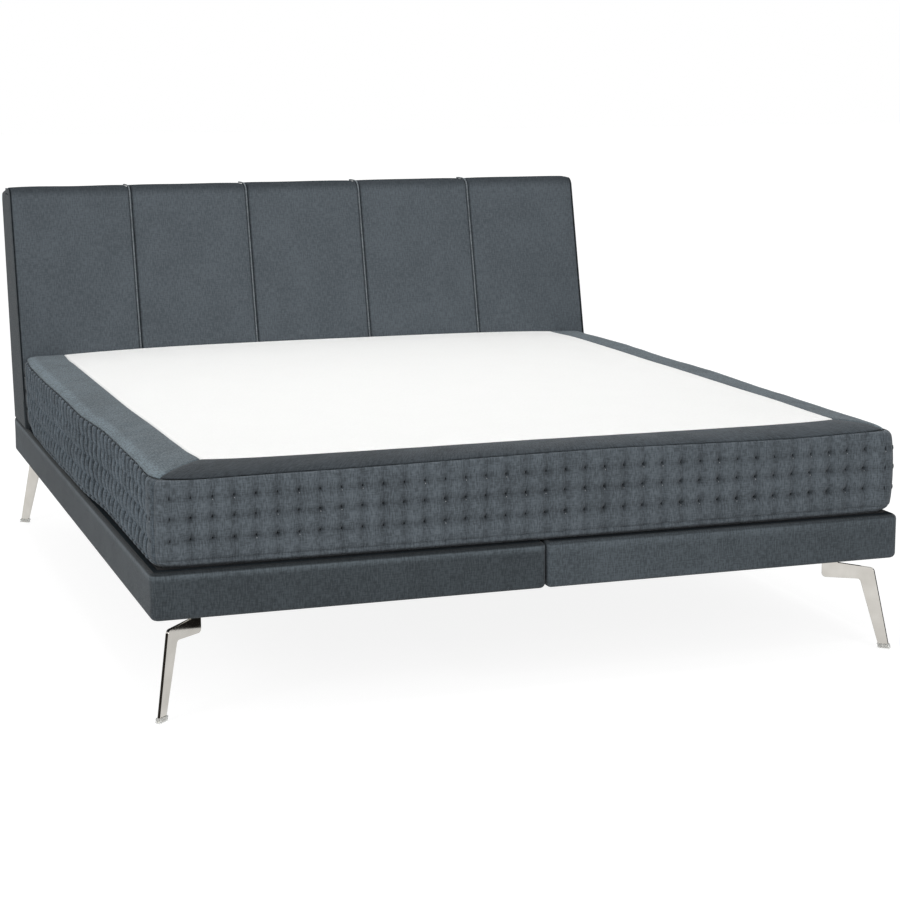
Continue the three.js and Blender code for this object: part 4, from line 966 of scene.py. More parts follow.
# %% [markdown]
# The white panel is a plain ticking, a little domed by the padding under it. A line of stitches runs
# round it just inside its edge. It could be a plane with a Subdivision modifier, but a grid that crowds
# towards the edges puts its points where the seams are.

# %% White panel
PANEL_COLUMNS, PANEL_ROWS = 150, 170
# the share of a grid's spacing that is even, and the rest follows half a cosine wave
EVEN_SHARE = 0.35
CROWN_REACH, CROWN_LOSS = 90 * MM, 0.35
STITCH_LINE, STITCH_DEPTH, STITCH_GROOVE = 12 * MM, 0.5 * MM, 1.5 * MM
PANEL_WAVE, PANEL_WAVELENGTH = 0.4 * MM, 0.4


def crowded(count):
    """Shares from 0 to 1 that crowd towards both ends: half a cosine wave blended with even steps."""
    even = np.linspace(0, 1, count)
    return EVEN_SHARE * even + (1 - EVEN_SHARE) * (0.5 - 0.5 * np.cos(math.pi * even))


def build_panel():
    """Ruled in X between its side edges at each share of the length, and crowned as 1 - exp(-d / reach)
    at the distance d from its edges. The crown is lower where the panel meets the headboard."""
    across, along = crowded(PANEL_COLUMNS)[None], crowded(PANEL_ROWS)[:, None]
    left, right = -panel_side(along, -1), panel_side(along, 1)
    x = panel_x(across, along)
    foot = panel_foot(panel_x(across))
    y = foot + (panel_head - foot) * along
    edge = np.minimum(np.minimum(x - left, right - x), y - foot)
    low_at_head = 1 - CROWN_LOSS * crease(panel_head - y, CROWN_REACH)
    rise = PANEL_CROWN * (1 - np.exp(-edge / CROWN_REACH)) * low_at_head
    edge = np.minimum(edge, panel_head - y)
    hem = STITCH_DEPTH * crease(edge - STITCH_LINE, STITCH_GROOVE)
    hem = hem + INNER_HOLLOW * crease(edge, INNER_WIDTH)
    wave = PANEL_WAVE * ripple(x, y, PANEL_WAVELENGTH, SEEDS["white top"])
    z = SEAM_Z + RIM_CROWN + rise - hem + wave - head_drop(x, y)
    return slab("white_panel", np.stack(np.broadcast_arrays(x, y, z), -1), PAD_UNDER, white_cloth)


white_panel = build_panel()
tell([white_panel])

# %% [markdown]
# A plinth's cover is pulled over a frame with thin wadding: a slab with rounded edges, open underneath
# where the dust cover closes it. It is a stack of rings, from the ceiling inside, out round the lip, up the
# soft side and over the top. A bevelled box would do for the shape, but the rings also take the wadding's
# slight swell. A plain matt cloth lies on the top, inside the rolled edge. Its dark colour is painted
# shade, the box's shadow on the plinth.

# %% Plinth covers
PLINTH_EDGE = 12 * MM
COVER_WALL = 5 * MM
UNDER_LIP = 34 * MM
LIP_DROP = 2 * MM
OUTER_CORNER, SPLIT_CORNER, LEAST_CORNER = 20 * MM, 13 * MM, 1 * MM
CORNER_POINTS, SIDE_POINTS = 10, 90
EDGE_RINGS, SIDE_RINGS = 8, 14
TOP_RINGS = (14 * MM, 20 * MM, 40 * MM)
SIDE_SWELL, SIDE_SWELL_LENGTH, SIDE_SWELL_SKEW = 0.5 * MM, 0.16, 1.7
TOP_INSET, TOP_CORNER = 9.5 * MM, 8 * MM
# the top cloth's rings: how far each is drawn in from the first, and its height above the cover
TOP_CLOTH_RINGS = ((0.0, -0.2 * MM), (0.0, 0.2 * MM), (0.3 * MM, 0.4 * MM))


def rounded_ring(x0, x1, y0, y1, radii):
    """Points counterclockwise round a rectangle from its foot left corner: each corner a quarter circle,
    each side spread evenly."""
    corners = [(x0, y0, 1, 1), (x1, y0, -1, 1), (x1, y1, -1, -1), (x0, y1, 1, -1)]
    arcs = []
    for i, ((x, y, in_x, in_y), radius) in enumerate(zip(corners, radii)):
        angle = math.pi + i * QUARTER + np.linspace(0, QUARTER, CORNER_POINTS)
        arcs.append(np.stack([x + in_x * radius + radius * np.cos(angle),
                              y + in_y * radius + radius * np.sin(angle)], -1))
    ring = []
    for i, arc in enumerate(arcs):
        start, end = arc[-1], arcs[(i + 1) % 4][0]
        share = np.linspace(0, 1, SIDE_POINTS)[1:-1, None]
        ring += [arc, start + (end - start) * share]
    return np.concatenate(ring)


def plinth_ring(hand, inset, radii):
    """The plan outline of one plinth, drawn in by inset."""
    x0, x1 = sorted((hand * SPLIT_HALF, hand * BED_HALF))
    return rounded_ring(x0 + inset, x1 - inset, FOOT_Y + inset, HEAD_Y - inset, radii)


def build_plinth(side, hand):
    """Rings given by their inset and height. The lip and the upper edge are quarter circles, and the
    side swells by a random wave that is strongest at half height, as sin(pi share)."""
    low_x, high_x = (OUTER_CORNER, SPLIT_CORNER) if hand < 0 else (SPLIT_CORNER, OUTER_CORNER)
    turn = np.linspace(0, QUARTER, EDGE_RINGS)
    ceiling, lip = PLINTH_TOP - COVER_WALL, PLINTH_UNDER - LIP_DROP
    inside = [(COVER_WALL + LEAST_CORNER, ceiling), (COVER_WALL, ceiling - LEAST_CORNER),
              (COVER_WALL, PLINTH_UNDER + COVER_WALL), (UNDER_LIP, PLINTH_UNDER + COVER_WALL),
              (UNDER_LIP, PLINTH_UNDER)]
    heights = np.linspace(PLINTH_UNDER + PLINTH_EDGE, PLINTH_TOP - PLINTH_EDGE, SIDE_RINGS)[1:-1]
    outside = [(PLINTH_EDGE * (1 - math.sin(a)), lip + PLINTH_EDGE * (1 - math.cos(a))) for a in turn]
    outside += [(0.0, z) for z in heights]
    outside += [(PLINTH_EDGE * (1 - math.cos(a)), PLINTH_TOP - PLINTH_EDGE * (1 - math.sin(a)))
                for a in turn]
    outside += [(inset, PLINTH_TOP) for inset in TOP_RINGS]
    centre = np.array([hand * (SPLIT_HALF + BED_HALF) / 2, (FOOT_Y + HEAD_Y) / 2])
    half = np.array([(BED_HALF - SPLIT_HALF) / 2, (HEAD_Y - FOOT_Y) / 2])
    rings = []
    for places, softness in ((inside, 0.0), (outside, SIDE_SWELL)):
        for inset, z in places:
            radii = [max(radius - inset, LEAST_CORNER) for radius in (low_x, high_x, high_x, low_x)]
            ring = plinth_ring(hand, inset, radii)
            # which way a point swells: only where it lies on a straight side
            outward = np.sign(ring - centre) * (np.abs(ring - centre) > half - inset - LEAST_CORNER)
            half_height = math.sin(math.pi * (z - PLINTH_UNDER) / (PLINTH_TOP - PLINTH_UNDER))
            around = ring[:, :1] * SIDE_SWELL_SKEW + ring[:, 1:]
            swell = softness * ripple(around, z, SIDE_SWELL_LENGTH, SEEDS["plinths"])
            rings.append(add_last(ring + outward * half_height * swell, z))
    return loft(f"plinth_upholstery_{side}", np.stack(rings), plinth_cloths[side])


def build_plinth_top(side, hand):
    """A thin flat cloth with a soft edge, of three rings."""
    rings = [add_last(plinth_ring(hand, TOP_INSET + inset, [TOP_CORNER] * 4), PLINTH_TOP + above)
             for inset, above in TOP_CLOTH_RINGS]
    return loft(f"plinth_top_{side}", np.stack(rings), plinth_top_shade_cloth)


plinth_tops = [build_plinth_top(side, hand) for side, hand in HANDS]
plinths = {side: build_plinth(side, hand) for side, hand in HANDS}
tell([*plinth_tops, *plinths.values()])

# %% [markdown]
# Five padded panels cover the headboard's front. They bend over its front edge and run back on its
# nearly flat top. The panels, the piping between them and the edges of the side covers all follow this
# one path, so it is worked out once, with its outward directions.

# %% Path of the headboard panels
SHOULDER = 32 * MM
BACK_SHOULDER = 24 * MM
CUSHION_COUNT = 5
CUSHION_THICKNESS = 18 * MM
CUSHION_LOW = PLINTH_TOP + 85 * MM
TOP_RETURN = 67 * MM
RETURN_DOME = 0.8 * MM
BODY_DROP = 6 * MM
PITCH = 2 * BED_HALF / CUSHION_COUNT
FRONT_POINTS, SHOULDER_POINTS, RETURN_POINTS = 90, 14, 16
shoulder_z = HEADBOARD_TOP - SHOULDER
shoulder_y = headboard_front(shoulder_z) + SHOULDER / math.cos(FRONT_LEAN)
cushion_end = shoulder_y + TOP_RETURN


def front_path(up_count=FRONT_POINTS):
    """Places in (Y, Z) and outward directions along the panels: a straight line up the leaning front,
    an arc over the shoulder, and a short flat run back. Also the distance along it."""
    normal = np.array([-math.cos(FRONT_LEAN), math.sin(FRONT_LEAN)])
    shoulder = np.array([shoulder_y, shoulder_z])
    bottom = np.array([headboard_front(CUSHION_LOW), CUSHION_LOW])
    share = np.linspace(0, 1, up_count)[:, None]
    front = bottom + (shoulder + normal * SHOULDER - bottom) * share
    angle = np.linspace(math.pi - FRONT_LEAN, QUARTER, SHOULDER_POINTS)[1:]
    arc_out = np.stack([np.cos(angle), np.sin(angle)], -1)
    arc = shoulder + arc_out * SHOULDER
    flat_y = np.linspace(shoulder_y, cushion_end, RETURN_POINTS + 1)[1:]
    dome = RETURN_DOME * np.sin(math.pi * (flat_y - shoulder_y) / TOP_RETURN)
    place = np.concatenate([front, arc, np.stack([flat_y, HEADBOARD_TOP + dome], -1)])
    out = np.concatenate([np.repeat(normal[None], up_count, 0), arc_out,
                          np.repeat([[0.0, 1.0]], RETURN_POINTS, 0)])
    distance = np.concatenate([[0], np.cumsum(np.linalg.norm(np.diff(place, axis=0), axis=1))])
    return place, out, distance


front_length = front_path()[2][FRONT_POINTS - 1]
print("panels run", round(front_length, 4), "m up the front")

# %% [markdown]
# A panel is one section across the width, carried up the front and over the top. It is nearly flat, and
# falls off beside its neighbours into the groove that holds the piping. A pillow from a simulation
# would be rounder than these, which are stretched over a board.

# %% Headboard panels
# the outer panels end behind the side cover's edge
EDGE_GAP = 1.9 * MM
# how far a panel's columns stand from its edges, close together in the groove, and where the even ones
# start
EDGE_PLACES = np.array([0, 0.8, 1.8, 2.8, 3.8, 4.8, 6, 8, 11, 17, 26]) * MM
INNER_START, INNER_COLUMNS = 38 * MM, 22
CUSHION_CROWN = 2.6 * MM
GROOVE_DEPTH, NARROW_GROOVE, WIDE_GROOVE = 12 * MM, 3.2 * MM, 5.8 * MM
EDGE_FALL, EDGE_FALL_WIDTH = 1.5 * MM, 7 * MM
END_TUCK, END_TUCK_WIDTH = 7 * MM, 3.5 * MM
FLAT_LOSS = 0.5
PUCKER, PUCKER_LENGTH, PUCKER_STRETCH, PUCKER_PLACE, PUCKER_FADE = 0.45 * MM, 34 * MM, 0.3, 5 * MM, 12 * MM
CUSHION_WAVE, CUSHION_WAVELENGTH = 0.5 * MM, 0.22
# U of the loop's points behind a panel, beyond its edge
CUSHION_BACK_U = np.array([0.04, 0.4, 0.44])
# the band of painted shade over the shoulder, below and above the front's end. The panels also have a
# painted gradient, a little lighter towards the right.
SHADE_START, SHADE_END = 8 * MM, 22 * MM
panel_cloth = woven(
    "headboard panel cloth", (0.0895, 0.1040, 0.117), streak=0.17, sheen=0.0, gloss=0.0, bands=(
        ("U", -0.9, 0.9, 1.0, 1.04),
        ("V", front_length - SHADE_START, front_length + SHADE_END, 1.0, 0.56)))


def groove(distance, width):
    """Depth of a groove beside an edge: depth exp(-(distance / width)^3), with a steep wall."""
    return GROOVE_DEPTH * np.exp(-(distance / width) ** 3)


def seam_x(number):
    """X of the seams between the panels, counted from the headboard's left side, which is number 0."""
    return (number - CUSHION_COUNT / 2) * PITCH


def build_cushion(index):
    """The face's height above the plane is a crown, 1 - (2 x / width)^4, less the grooves along both
    edges, with small puckers there that fade 12 mm away. The groove to the right of a piping is the
    wider one, and the outer panels end short of the headboard's sides."""
    low = seam_x(index) + (PLAY if index > 0 else EDGE_GAP)
    high = seam_x(index + 1) - (PLAY if index < CUSHION_COUNT - 1 else EDGE_GAP)
    middle, half = (low + high) / 2, (high - low) / 2
    inner_places = np.linspace(INNER_START - half, half - INNER_START, INNER_COLUMNS)
    x = np.concatenate([-half + EDGE_PLACES, inner_places, (half - EDGE_PLACES)[::-1]])
    place, out, distance = front_path()
    from_edge = half - np.abs(x)
    crown = CUSHION_CROWN * (1 - (x / half) ** 4)
    crown = crown - groove(half + x, NARROW_GROOVE if index == 0 else WIDE_GROOVE)
    crown = crown - groove(half - x, NARROW_GROOVE) - EDGE_FALL * crease(from_edge, EDGE_FALL_WIDTH)
    flat = np.clip((distance - front_length) / (SHOULDER * QUARTER), 0, 1)
    rise = crown[None] * (1 - FLAT_LOSS * flat[:, None] * (crown > 0)[None])
    rise = rise - END_TUCK * crease(distance[-1] - distance, END_TUCK_WIDTH)[:, None]
    pucker = ripple(distance[:, None], x[None] * PUCKER_STRETCH, PUCKER_LENGTH, SEEDS["puckers"] + index)
    wave = CUSHION_WAVE * ripple(x[None], distance[:, None], CUSHION_WAVELENGTH, SEEDS["panels"] + index)
    rise = rise + PUCKER * pucker * crease(from_edge - PUCKER_PLACE, PUCKER_FADE)[None] + wave
    yz = place[:, None] + out[:, None] * rise[..., None]
    face = np.concatenate([np.broadcast_to(middle + x[None, :, None], (*rise.shape, 1)), yz], -1)
    back_yz = place - out * (CUSHION_THICKNESS - PLAY)
    back = np.stack([add_first(middle + half, back_yz), add_first(middle - half, back_yz)], 1)
    u = np.concatenate([middle + x, middle + half + CUSHION_BACK_U])
    return loft(f"headboard_panel_{index + 1}", np.concatenate([face, back], 1), panel_cloth,
                uv_grid(u[None], distance[:, None]))


cushions = [build_cushion(i) for i in range(CUSHION_COUNT)]
tell(cushions)

# %% [markdown]
# The piping is a cord sewn into a strip of the same cloth on the bias. It stands a little proud of the
# panels, also over the top, where it breaks the headboard's outline. A curve with a round bevel could
# draw it, but carried along the panels' own path it keeps its height above them, and the same function
# also makes the flat edge of the side covers.

# %% Piping
PIPING_RADIUS, PIPING_LIFT, PIPING_ASIDE = 2.3 * MM, 1.6 * MM, 1.4 * MM
CORD_POINTS, CORD_STATIONS = 16, 70
# the side cover's edge: how far it stands inside the bed's side, its place off the panels' plane, and
# half its width and height
EDGE_ASIDE, EDGE_LIFT, EDGE_WIDTH, EDGE_HEIGHT = 0.9 * MM, -9.5 * MM, 0.8 * MM, 8.2 * MM
EDGE_POWER = 0.5


def build_piping(name, x, lift, radius, height, material, power=1.0):
    """A cord along the panels' path: rings of points, square to the path, at one X. radius is half its
    width across the bed and height half its height off the panels. A power below 1 makes its section
    fuller at the corners: sign(cos) |cos|^power."""
    place, out, distance = front_path(CORD_STATIONS)
    angle = full_turn(CORD_POINTS)
    wide, high = (np.sign(wave) * np.abs(wave) ** power for wave in (np.cos(angle), np.sin(angle)))
    yz = place[:, None] + out[:, None] * (lift + height * high)[None, :, None]
    xs = np.broadcast_to((x + radius * wide)[None, :, None], (len(place), CORD_POINTS, 1))
    round_it = np.linspace(0, math.tau, CORD_POINTS + 1) * radius
    return loft(name, np.concatenate([xs, yz], -1), material, uv_grid(round_it[None], distance[:, None]))


pipings = [build_piping(f"piping_{i}", seam_x(i) - PIPING_ASIDE, PIPING_LIFT, PIPING_RADIUS, PIPING_RADIUS,
                        piping_cloth) for i in range(1, CUSHION_COUNT)]
# the side covers' edges stand beside the outer panels, nearly as high as their face
side_edges = [build_piping(f"side_edge_{name}", hand * (BED_HALF - EDGE_ASIDE), EDGE_LIFT, EDGE_WIDTH,
                           EDGE_HEIGHT, headboard_cloth, EDGE_POWER) for name, hand in HANDS]
tell([*pipings, *side_edges])

# %% [markdown]
# The headboard's body is a wedge under one cover: its back stands steeper than its front, and its top
# back edge is round. It could be cut from a box with booleans, but one outline of lines and arcs carried
# across the bed is exact, and drawing it in at both ends rounds them too.

# %% Headboard body
SHOULDER_STEPS = 14
BODY_EDGE, BODY_EDGE_RINGS = 4 * MM, 7
BODY_END, BODY_RINGS = 40 * MM, 45


def body_top(y):
    """Height of the body's top at Y: from behind the panels it falls away square to the back plane."""
    return HEADBOARD_TOP - BODY_DROP - (y - cushion_end) * math.tan(BACK_LEAN)


def body_outline(inset):
    """The side outline in (Y, Z), drawn in by inset: up the back, over the back shoulder, down behind
    the panels' end, over the front shoulder behind the panels, and down their back."""
    behind = CUSHION_THICKNESS + PLAY + inset
    step = cushion_end + PLAY + inset
    slope = math.tan(BACK_LEAN)
    # the back plane and the top line meet here
    top_y = (HEADBOARD_BACK + (body_top(0) - PLINTH_TOP) * slope) / (1 + slope ** 2)
    to_back = np.array([math.cos(BACK_LEAN), -slope * math.cos(BACK_LEAN)])
    to_top = np.array([slope * math.cos(BACK_LEAN), math.cos(BACK_LEAN)])
    centre = np.array([top_y, body_top(top_y)]) - BACK_SHOULDER * (to_back + to_top)
    back_angle = np.linspace(-BACK_LEAN, QUARTER - BACK_LEAN, SHOULDER_STEPS)[:, None]
    back = centre + (BACK_SHOULDER - inset) * np.hstack([np.cos(back_angle), np.sin(back_angle)])
    front_angle = np.linspace(QUARTER, math.pi - FRONT_LEAN, SHOULDER_STEPS)[:, None]
    front = (np.array([shoulder_y, shoulder_z])
             + (SHOULDER - behind) * np.hstack([np.cos(front_angle), np.sin(front_angle)]))
    low = PLINTH_TOP + PLAY + inset
    start = [[headboard_back(low) - inset / math.cos(BACK_LEAN), low]]
    notch = [[step, body_top(step) - inset / math.cos(BACK_LEAN)], [step, shoulder_z + SHOULDER - behind]]
    end = [[headboard_front(low) + behind / math.cos(FRONT_LEAN), low]]
    return np.concatenate([start, back, notch, front, end])


def build_body():
    """Outlines across the bed. At its ends they are drawn in along a quarter circle of BODY_EDGE."""
    turn = np.linspace(0, QUARTER, BODY_EDGE_RINGS)
    ends = [(BED_HALF - BODY_EDGE * (1 - math.sin(a)), BODY_EDGE * (1 - math.cos(a))) for a in turn[::-1]]
    flat = np.linspace(BODY_END - BED_HALF, BED_HALF - BODY_END, BODY_RINGS)
    stations = [(-x, inset) for x, inset in ends] + [(x, 0.0) for x in flat] + ends[::-1]
    sections = [add_first(x, body_outline(inset)) for x, inset in stations]
    return loft("headboard_body", np.stack(sections), headboard_cloth)


headboard_body = build_body()
tell([headboard_body])

# %% [markdown]
# A leg is cut from 8 mm steel plate, polished, and set at 45 degrees under its corner: a narrow foot, a
# splayed leg that widens to the knee, and an arm that runs in to a riser under the mounting plate.
# The outline is drawn in the upright diagonal plane, given its thickness, and its edges are bevelled.
# Polished metal shows every facet, so the bends are true arcs and the bevel hardens its normals.

# %% Blade legs
BLADE = 8 * MM
PLATE = 5 * MM
LEG_TOP = PLINTH_UNDER + 2.7 * MM
FOOT_LIFT = 1.6 * MM
PLATE_CENTRE, PLATE_HALF, PLATE_HALF_WIDTH = 169 * MM, 42 * MM, 32 * MM
BLADE_BEVEL, PLATE_BEVEL, BEVEL_ANGLE = 0.7 * MM, 0.8 * MM, math.radians(30)
SMEAR_SCALE, SMEAR_DETAIL = 18.0, 3.0
SMEAR_ROUGHNESS, POLISH_ROUGHNESS = 0.05, 0.02


def round_corner(before, corner, after, radius, steps):
    """An arc that touches both sides of a corner: its centre lies on the corner's bisector at
    radius / sin(half the angle)."""
    before, corner, after = (np.asarray(p, float) for p in (before, corner, after))
    to_before = (before - corner) / np.linalg.norm(before - corner)
    to_after = (after - corner) / np.linalg.norm(after - corner)
    half = math.acos(float(to_before @ to_after)) / 2
    bisector = (to_before + to_after) / np.linalg.norm(to_before + to_after)
    centre = corner + bisector * radius / math.sin(half)
    start = corner + to_before * radius / math.tan(half) - centre
    end = corner + to_after * radius / math.tan(half) - centre
    from_angle = math.atan2(start[1], start[0])
    turn = (math.atan2(end[1], end[0]) - from_angle + math.pi) % math.tau - math.pi
    angle = from_angle + turn * np.linspace(0, 1, steps)
    return centre + radius * np.stack([np.cos(angle), np.sin(angle)], -1)


def blade_outline():
    """The blade in (inward, up), in metres, counterclockwise from the inner side of the foot."""
    inner_foot, outer_foot = (39 * MM, FOOT_LIFT), (14 * MM, FOOT_LIFT)
    inner_knee, outer_knee = (92 * MM, 170 * MM), (59 * MM, 201 * MM)
    arm_corner, riser_top = (189 * MM, 165 * MM), (189 * MM, LEG_TOP - PLATE)
    riser_start, riser_foot = (149 * MM, LEG_TOP - PLATE), (149 * MM, 205 * MM)
    return np.concatenate([
        [inner_foot], round_corner(inner_foot, inner_knee, arm_corner, radius=9 * MM, steps=8),
        round_corner(inner_knee, arm_corner, riser_top, radius=10 * MM, steps=8), [riser_top, riser_start],
        round_corner(riser_start, riser_foot, outer_knee, radius=3 * MM, steps=5),
        round_corner(riser_foot, outer_knee, outer_foot, radius=12 * MM, steps=10), [outer_foot]])


def corner_plane(points, hand, end):
    """Places (inward, up, sideways) points in the diagonal plane of one corner of the bed."""
    inward = np.array([-hand, 1 if end == "foot" else -1, 0]) / math.sqrt(2)
    up = np.array([0.0, 0.0, 1.0])
    sideways = np.cross(inward, up)
    corner = np.array([hand * BED_HALF, FOOT_Y if end == "foot" else HEAD_Y, 0.0])
    return corner + points[..., :1] * inward + points[..., 1:2] * up + points[..., 2:] * sideways


def plate_solid(name, outline, half_width, hand, end, bevel):
    """An outline in the diagonal plane given a thickness to both sides, with bevelled edges."""
    sections = np.stack([add_last(outline, w) for w in (-half_width, half_width)])
    made = loft(name, corner_plane(sections, hand, end), chrome_plate, smooth_caps=True)
    soften = made.modifiers.new("soft edges", "BEVEL")
    soften.width, soften.segments, soften.limit_method = bevel, 2, "ANGLE"
    soften.angle_limit = BEVEL_ANGLE
    soften.harden_normals = True
    return made


def chrome(name):
    """Polished chrome: nearly clear, with faint smears that change its roughness and its tint."""
    material, shader, wire = new_material(name)
    smear = wire.node("ShaderNodeTexNoise", {}, {
        "Vector": object_place(wire), "Scale": SMEAR_SCALE, "Detail": SMEAR_DETAIL})
    feed(shader, Metallic=1.0, Roughness=smear * SMEAR_ROUGHNESS + POLISH_ROUGHNESS,
         Base_Color=shade(wire, smear, (0.45, 0.43, 0.395), (0.65, 0.63, 0.59)))
    return material


chrome_plate = chrome("polished chrome")


def build_leg(end, side, hand):
    """A blade and the mounting plate on it, which is a plain rectangle in the same plane. The blade
    stands for the leg's CAD node."""
    blade = plate_solid(f"leg_blade_{end}_{side}", blade_outline(), BLADE / 2, hand, end, BLADE_BEVEL)
    near, far = PLATE_CENTRE - PLATE_HALF, PLATE_CENTRE + PLATE_HALF
    outline = np.array([(near, LEG_TOP - PLATE), (far, LEG_TOP - PLATE), (far, LEG_TOP), (near, LEG_TOP)])
    plate = plate_solid(f"leg_plate_{end}_{side}", outline, PLATE_HALF_WIDTH, hand, end, PLATE_BEVEL)
    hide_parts(f"leg_{end}_{side}")
    return [blade, plate]


legs = [piece for end in ("foot", "head") for side, hand in HANDS for piece in build_leg(end, side, hand)]
tell(legs)

# %% [markdown]
# The finishes of the parts that stay as the CAD made them: clear glides, black steel supports, dust
# covers, and the timber, steel, felt and foam inside. Their meshes are left alone, so their pattern
# comes from Object coordinates.

# %% Finishes of the CAD nodes
NOISE_DETAIL = 4.0
ROUGHNESS_SPREAD = 0.12
BUMP_HEIGHT = 0.3 * MM
UNDER_CLOTH = {"roughness": 0.95, "scale": 700.0, "spread": 0.5, "bump": 0.6}
SOFTWOOD = {"roughness": 0.6, "scale": 22.0, "spread": 0.35, "stretch": (6, 0.6, 6)}


def plain(name, colour, roughness, scale, spread, metallic=0.0, bump=0.0, stretch=(1, 1, 1)):
    """A finish with a noise on Object coordinates that varies its colour, its roughness and its relief."""
    material, shader, wire = new_material(name)
    placed = wire.node("ShaderNodeMapping", {}, {"Vector": object_place(wire), "Scale": stretch})
    noise = wire.node("ShaderNodeTexNoise", {}, {"Vector": placed, "Scale": scale, "Detail": NOISE_DETAIL})
    feed(shader, Base_Color=varied(wire, noise, colour, spread), Metallic=metallic,
         Roughness=noise * ROUGHNESS_SPREAD + (roughness - ROUGHNESS_SPREAD / 2))
    if bump:
        feed(shader, Normal=wire.node("ShaderNodeBump", {}, {
            "Strength": bump, "Distance": BUMP_HEIGHT, "Height": noise}))
    return material


glide_plastic = plain("clear glide plastic", (0.93, 0.935, 0.92), 0.16, 60.0, 0.05)
feed(glide_plastic.node_tree.nodes["Principled BSDF"], Transmission_Weight=0.75)
# the first of these words that a node's name holds gives its finish: colour, roughness, waves to a
# metre, and how far the colour varies
finishes = {
    "glide_": glide_plastic,
    "middle_support_": plain("black powder coat", (0.018, 0.019, 0.021), 0.5, 900.0, 0.3, bump=0.3),
    "plinth_dust_cover_": plain("black dust cloth", (0.014, 0.014, 0.016), **UNDER_CLOTH),
    "box_bottom_cloth": plain("black underside cloth", (0.016, 0.016, 0.018), **UNDER_CLOTH),
    "rail": plain("planed softwood", (0.52, 0.35, 0.19), **SOFTWOOD),
    "leg_block": plain("softwood block", (0.52, 0.35, 0.19), **SOFTWOOD),
    "board": plain("plywood", (0.44, 0.29, 0.14), 0.65, 14.0, 0.3, stretch=(3, 0.8, 30)),
    "bolt": plain("zinc plated steel", (0.42, 0.43, 0.44), 0.35, 200.0, 0.15, metallic=1.0),
    "spring": plain("spring pocket felt", (0.66, 0.64, 0.60), 0.95, 500.0, 0.15, bump=0.5),
    "comfort": plain("foam", (0.80, 0.74, 0.58), 0.95, 900.0, 0.1, bump=0.5),
}
for node_name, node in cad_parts.items():
    for part_name, finish in finishes.items():
        if part_name in node_name:
            node.data.materials.clear()
            node.data.materials.append(finish)
            break
print("finishes", list(finishes))

# %% [markdown]
# Each new piece takes the place of its CAD node and rides on the body that the node belongs to.

# %% Pieces on their bodies
def place_piece(piece, body, slot, *nodes):
    """Rides a piece on a body, and lets it stand for its CAD nodes if it has any. slot is not used."""
    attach(piece, body)
    if nodes:
        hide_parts(*nodes)


for name, border in borders.items():
    place_piece(border, "upper_box", "box_cloth", f"box_border_{name}")
    place_piece(stitches[name], "upper_box", "box_cloth")
    place_piece(knots[name], "upper_box", "box_cloth")
for name, rim in rims.items():
    place_piece(rim, "upper_box", "box_cloth", f"box_rim_{name}")
place_piece(white_panel, "upper_box", "white_cloth", "box_top_panel")
for side, plinth in plinths.items():
    place_piece(plinth, "base", "plinth_cloth", f"plinth_cover_{side}")
for plinth_top in plinth_tops:
    place_piece(plinth_top, "base", "plinth_cloth")
for number, cushion in enumerate(cushions, 1):
    place_piece(cushion, "base", "headboard_cloth", f"headboard_cushion_{number}")
for number, piping in enumerate(pipings, 1):
    place_piece(piping, "base", "piping_cloth", f"headboard_piping_{number}")
for side_edge in side_edges:
    place_piece(side_edge, "base", "headboard_cloth")
place_piece(headboard_body, "base", "headboard_cloth", "headboard_cover")
for leg in legs:
    place_piece(leg, "base", "chrome")

# %% [markdown]
# A plain pale floor and soft studio light. The floor and the world are white to the camera and in
# reflections, and the floor keeps the bed's shadow, because its own brightness still depends on the lamps.
# Black cards that only reflections see paint dark reflections, as dark lines, on the polished legs. Two
# stand outside the picture as studio flags do, one lies on the floor to the right, and one lies under the
# bed as a painted reflection of the shaded floor there.

# %% Floor and cards
FLOOR_REACH = 40.0
FLOOR_GLOW = 0.88
# the lowest cards lie this far above the floor
CARD_LIFT = 0.004


def seen_directly(wire):
    """1 for camera, glossy and transmission rays, else 0."""
    rays = [wire.node("ShaderNodeLightPath", {}, {}, name)
            for name in ("Is Camera Ray", "Is Glossy Ray", "Is Transmission Ray")]
    return wire.math("MINIMUM", rays[0] + rays[1] + rays[2], 1.0)


def flat_card(name, low, high, material):
    """One flat face between two opposite corners: upright if they have the same X, else level at the
    height of the first."""
    (x0, y0, z0), (x1, y1, z1) = low, high
    corners = [(x0, y0, z0), (x1, y0, z0), (x1, y1, z0), (x0, y1, z0)]
    if x0 == x1:
        corners = [(x0, y0, z0), (x0, y1, z0), (x0, y1, z1), (x0, y0, z1)]
    mesh = bpy.data.meshes.new(name)
    mesh.from_pydata(corners, [], [(0, 1, 2, 3)])
    mesh.materials.append(material)
    card = bpy.data.objects.new(name, mesh)
    scene.collection.objects.link(card)
    return card


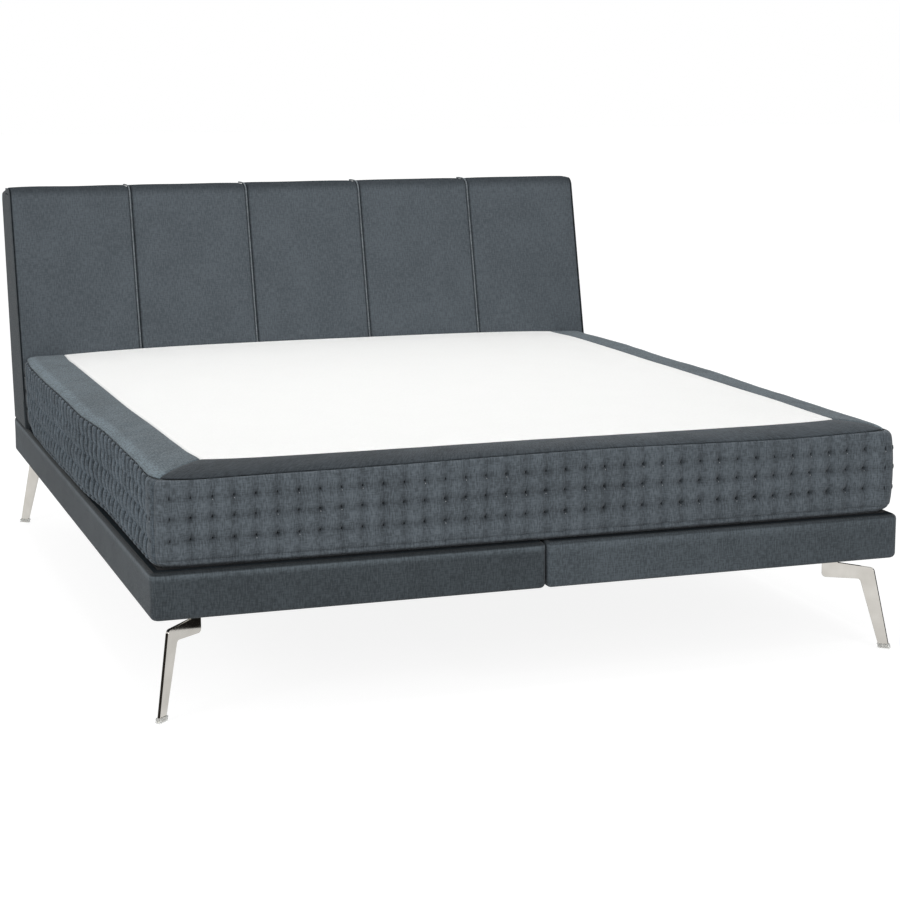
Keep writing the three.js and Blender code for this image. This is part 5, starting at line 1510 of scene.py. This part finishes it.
floor_paint, floor_shader, floor_wire = new_material("pale floor")
seen = seen_directly(floor_wire)
feed(floor_shader, Base_Color=shade(floor_wire, seen, (0.80, 0.80, 0.80), (0.24, 0.24, 0.24)),
     Roughness=0.9, Emission_Color=(1.0, 1.0, 1.0, 1.0), Emission_Strength=seen * FLOOR_GLOW)
floor = flat_card("floor", (-FLOOR_REACH, -FLOOR_REACH, 0.0), (FLOOR_REACH, FLOOR_REACH, 0.0), floor_paint)

reflection_card_paint, card_shader, _ = new_material("black card for painted reflections")
feed(card_shader, Base_Color=(0.02, 0.016, 0.012, 1.0), Roughness=0.9)
# these cards are seen only in reflections: they paint dark reflections on the chrome, and the one under the
# bed paints the reflected shade of the floor there
for name, low, high in (
        ("flag on the left", (-3.9, -2.8, 0.05), (-3.9, -0.4, 1.4)),
        ("flag on the right", (2.1, -1.2, CARD_LIFT), (2.1, 0.4, 0.5)),
        ("flag on the right floor", (0.95, -1.2, CARD_LIFT), (2.1, 0.4, CARD_LIFT)),
        ("card painting the reflected shade under the bed", (-0.155, -1.05, CARD_LIFT), (0.94, 0.4, CARD_LIFT))):
    card = flat_card(name, low, high, reflection_card_paint)
    card.visible_camera = card.visible_diffuse = card.visible_shadow = card.visible_transmission = False
print("floor", FLOOR_REACH, "m to each side, last card", card.name)

# %% [markdown]
# The lamps are large squares, as soft boxes are, so the shadows have soft edges. The world gives a low
# even light, and is white only where it is seen directly.

# %% World and lamps
WORLD_LIGHT = 0.4

world = bpy.data.worlds.new("studio")
scene.world = world
world.use_nodes = True
sky = world.node_tree.nodes["Background"]
strength = seen_directly(Wire(world.node_tree)) * (1 - WORLD_LIGHT) + WORLD_LIGHT
feed(sky, Color=(1.0, 1.0, 1.0, 1.0), Strength=strength)


def lamp(name, location, aim, size, power):
    """A square area lamp at location that looks at aim."""
    data = bpy.data.lights.new(name, "AREA")
    data.shape, data.size, data.energy = "SQUARE", size, power
    made = bpy.data.objects.new(name, data)
    made.location = location
    made.rotation_euler = (Vector(aim) - Vector(location)).to_track_quat("-Z", "Y").to_euler()
    scene.collection.objects.link(made)


lamp("top", (0.0, 0.0, 4.2), (0.0, 0.0, 0.4), size=2.6, power=79.0)
lamp("key from the left", (-4.3, -3.2, 2.4), (-0.3, -0.2, 0.4), size=1.6, power=68.0)
lamp("front fill", (1.6, -5.8, 2.3), (0.2, -0.6, 0.5), size=2.0, power=56.0)
print("lamps", [data.name for data in bpy.data.lights])
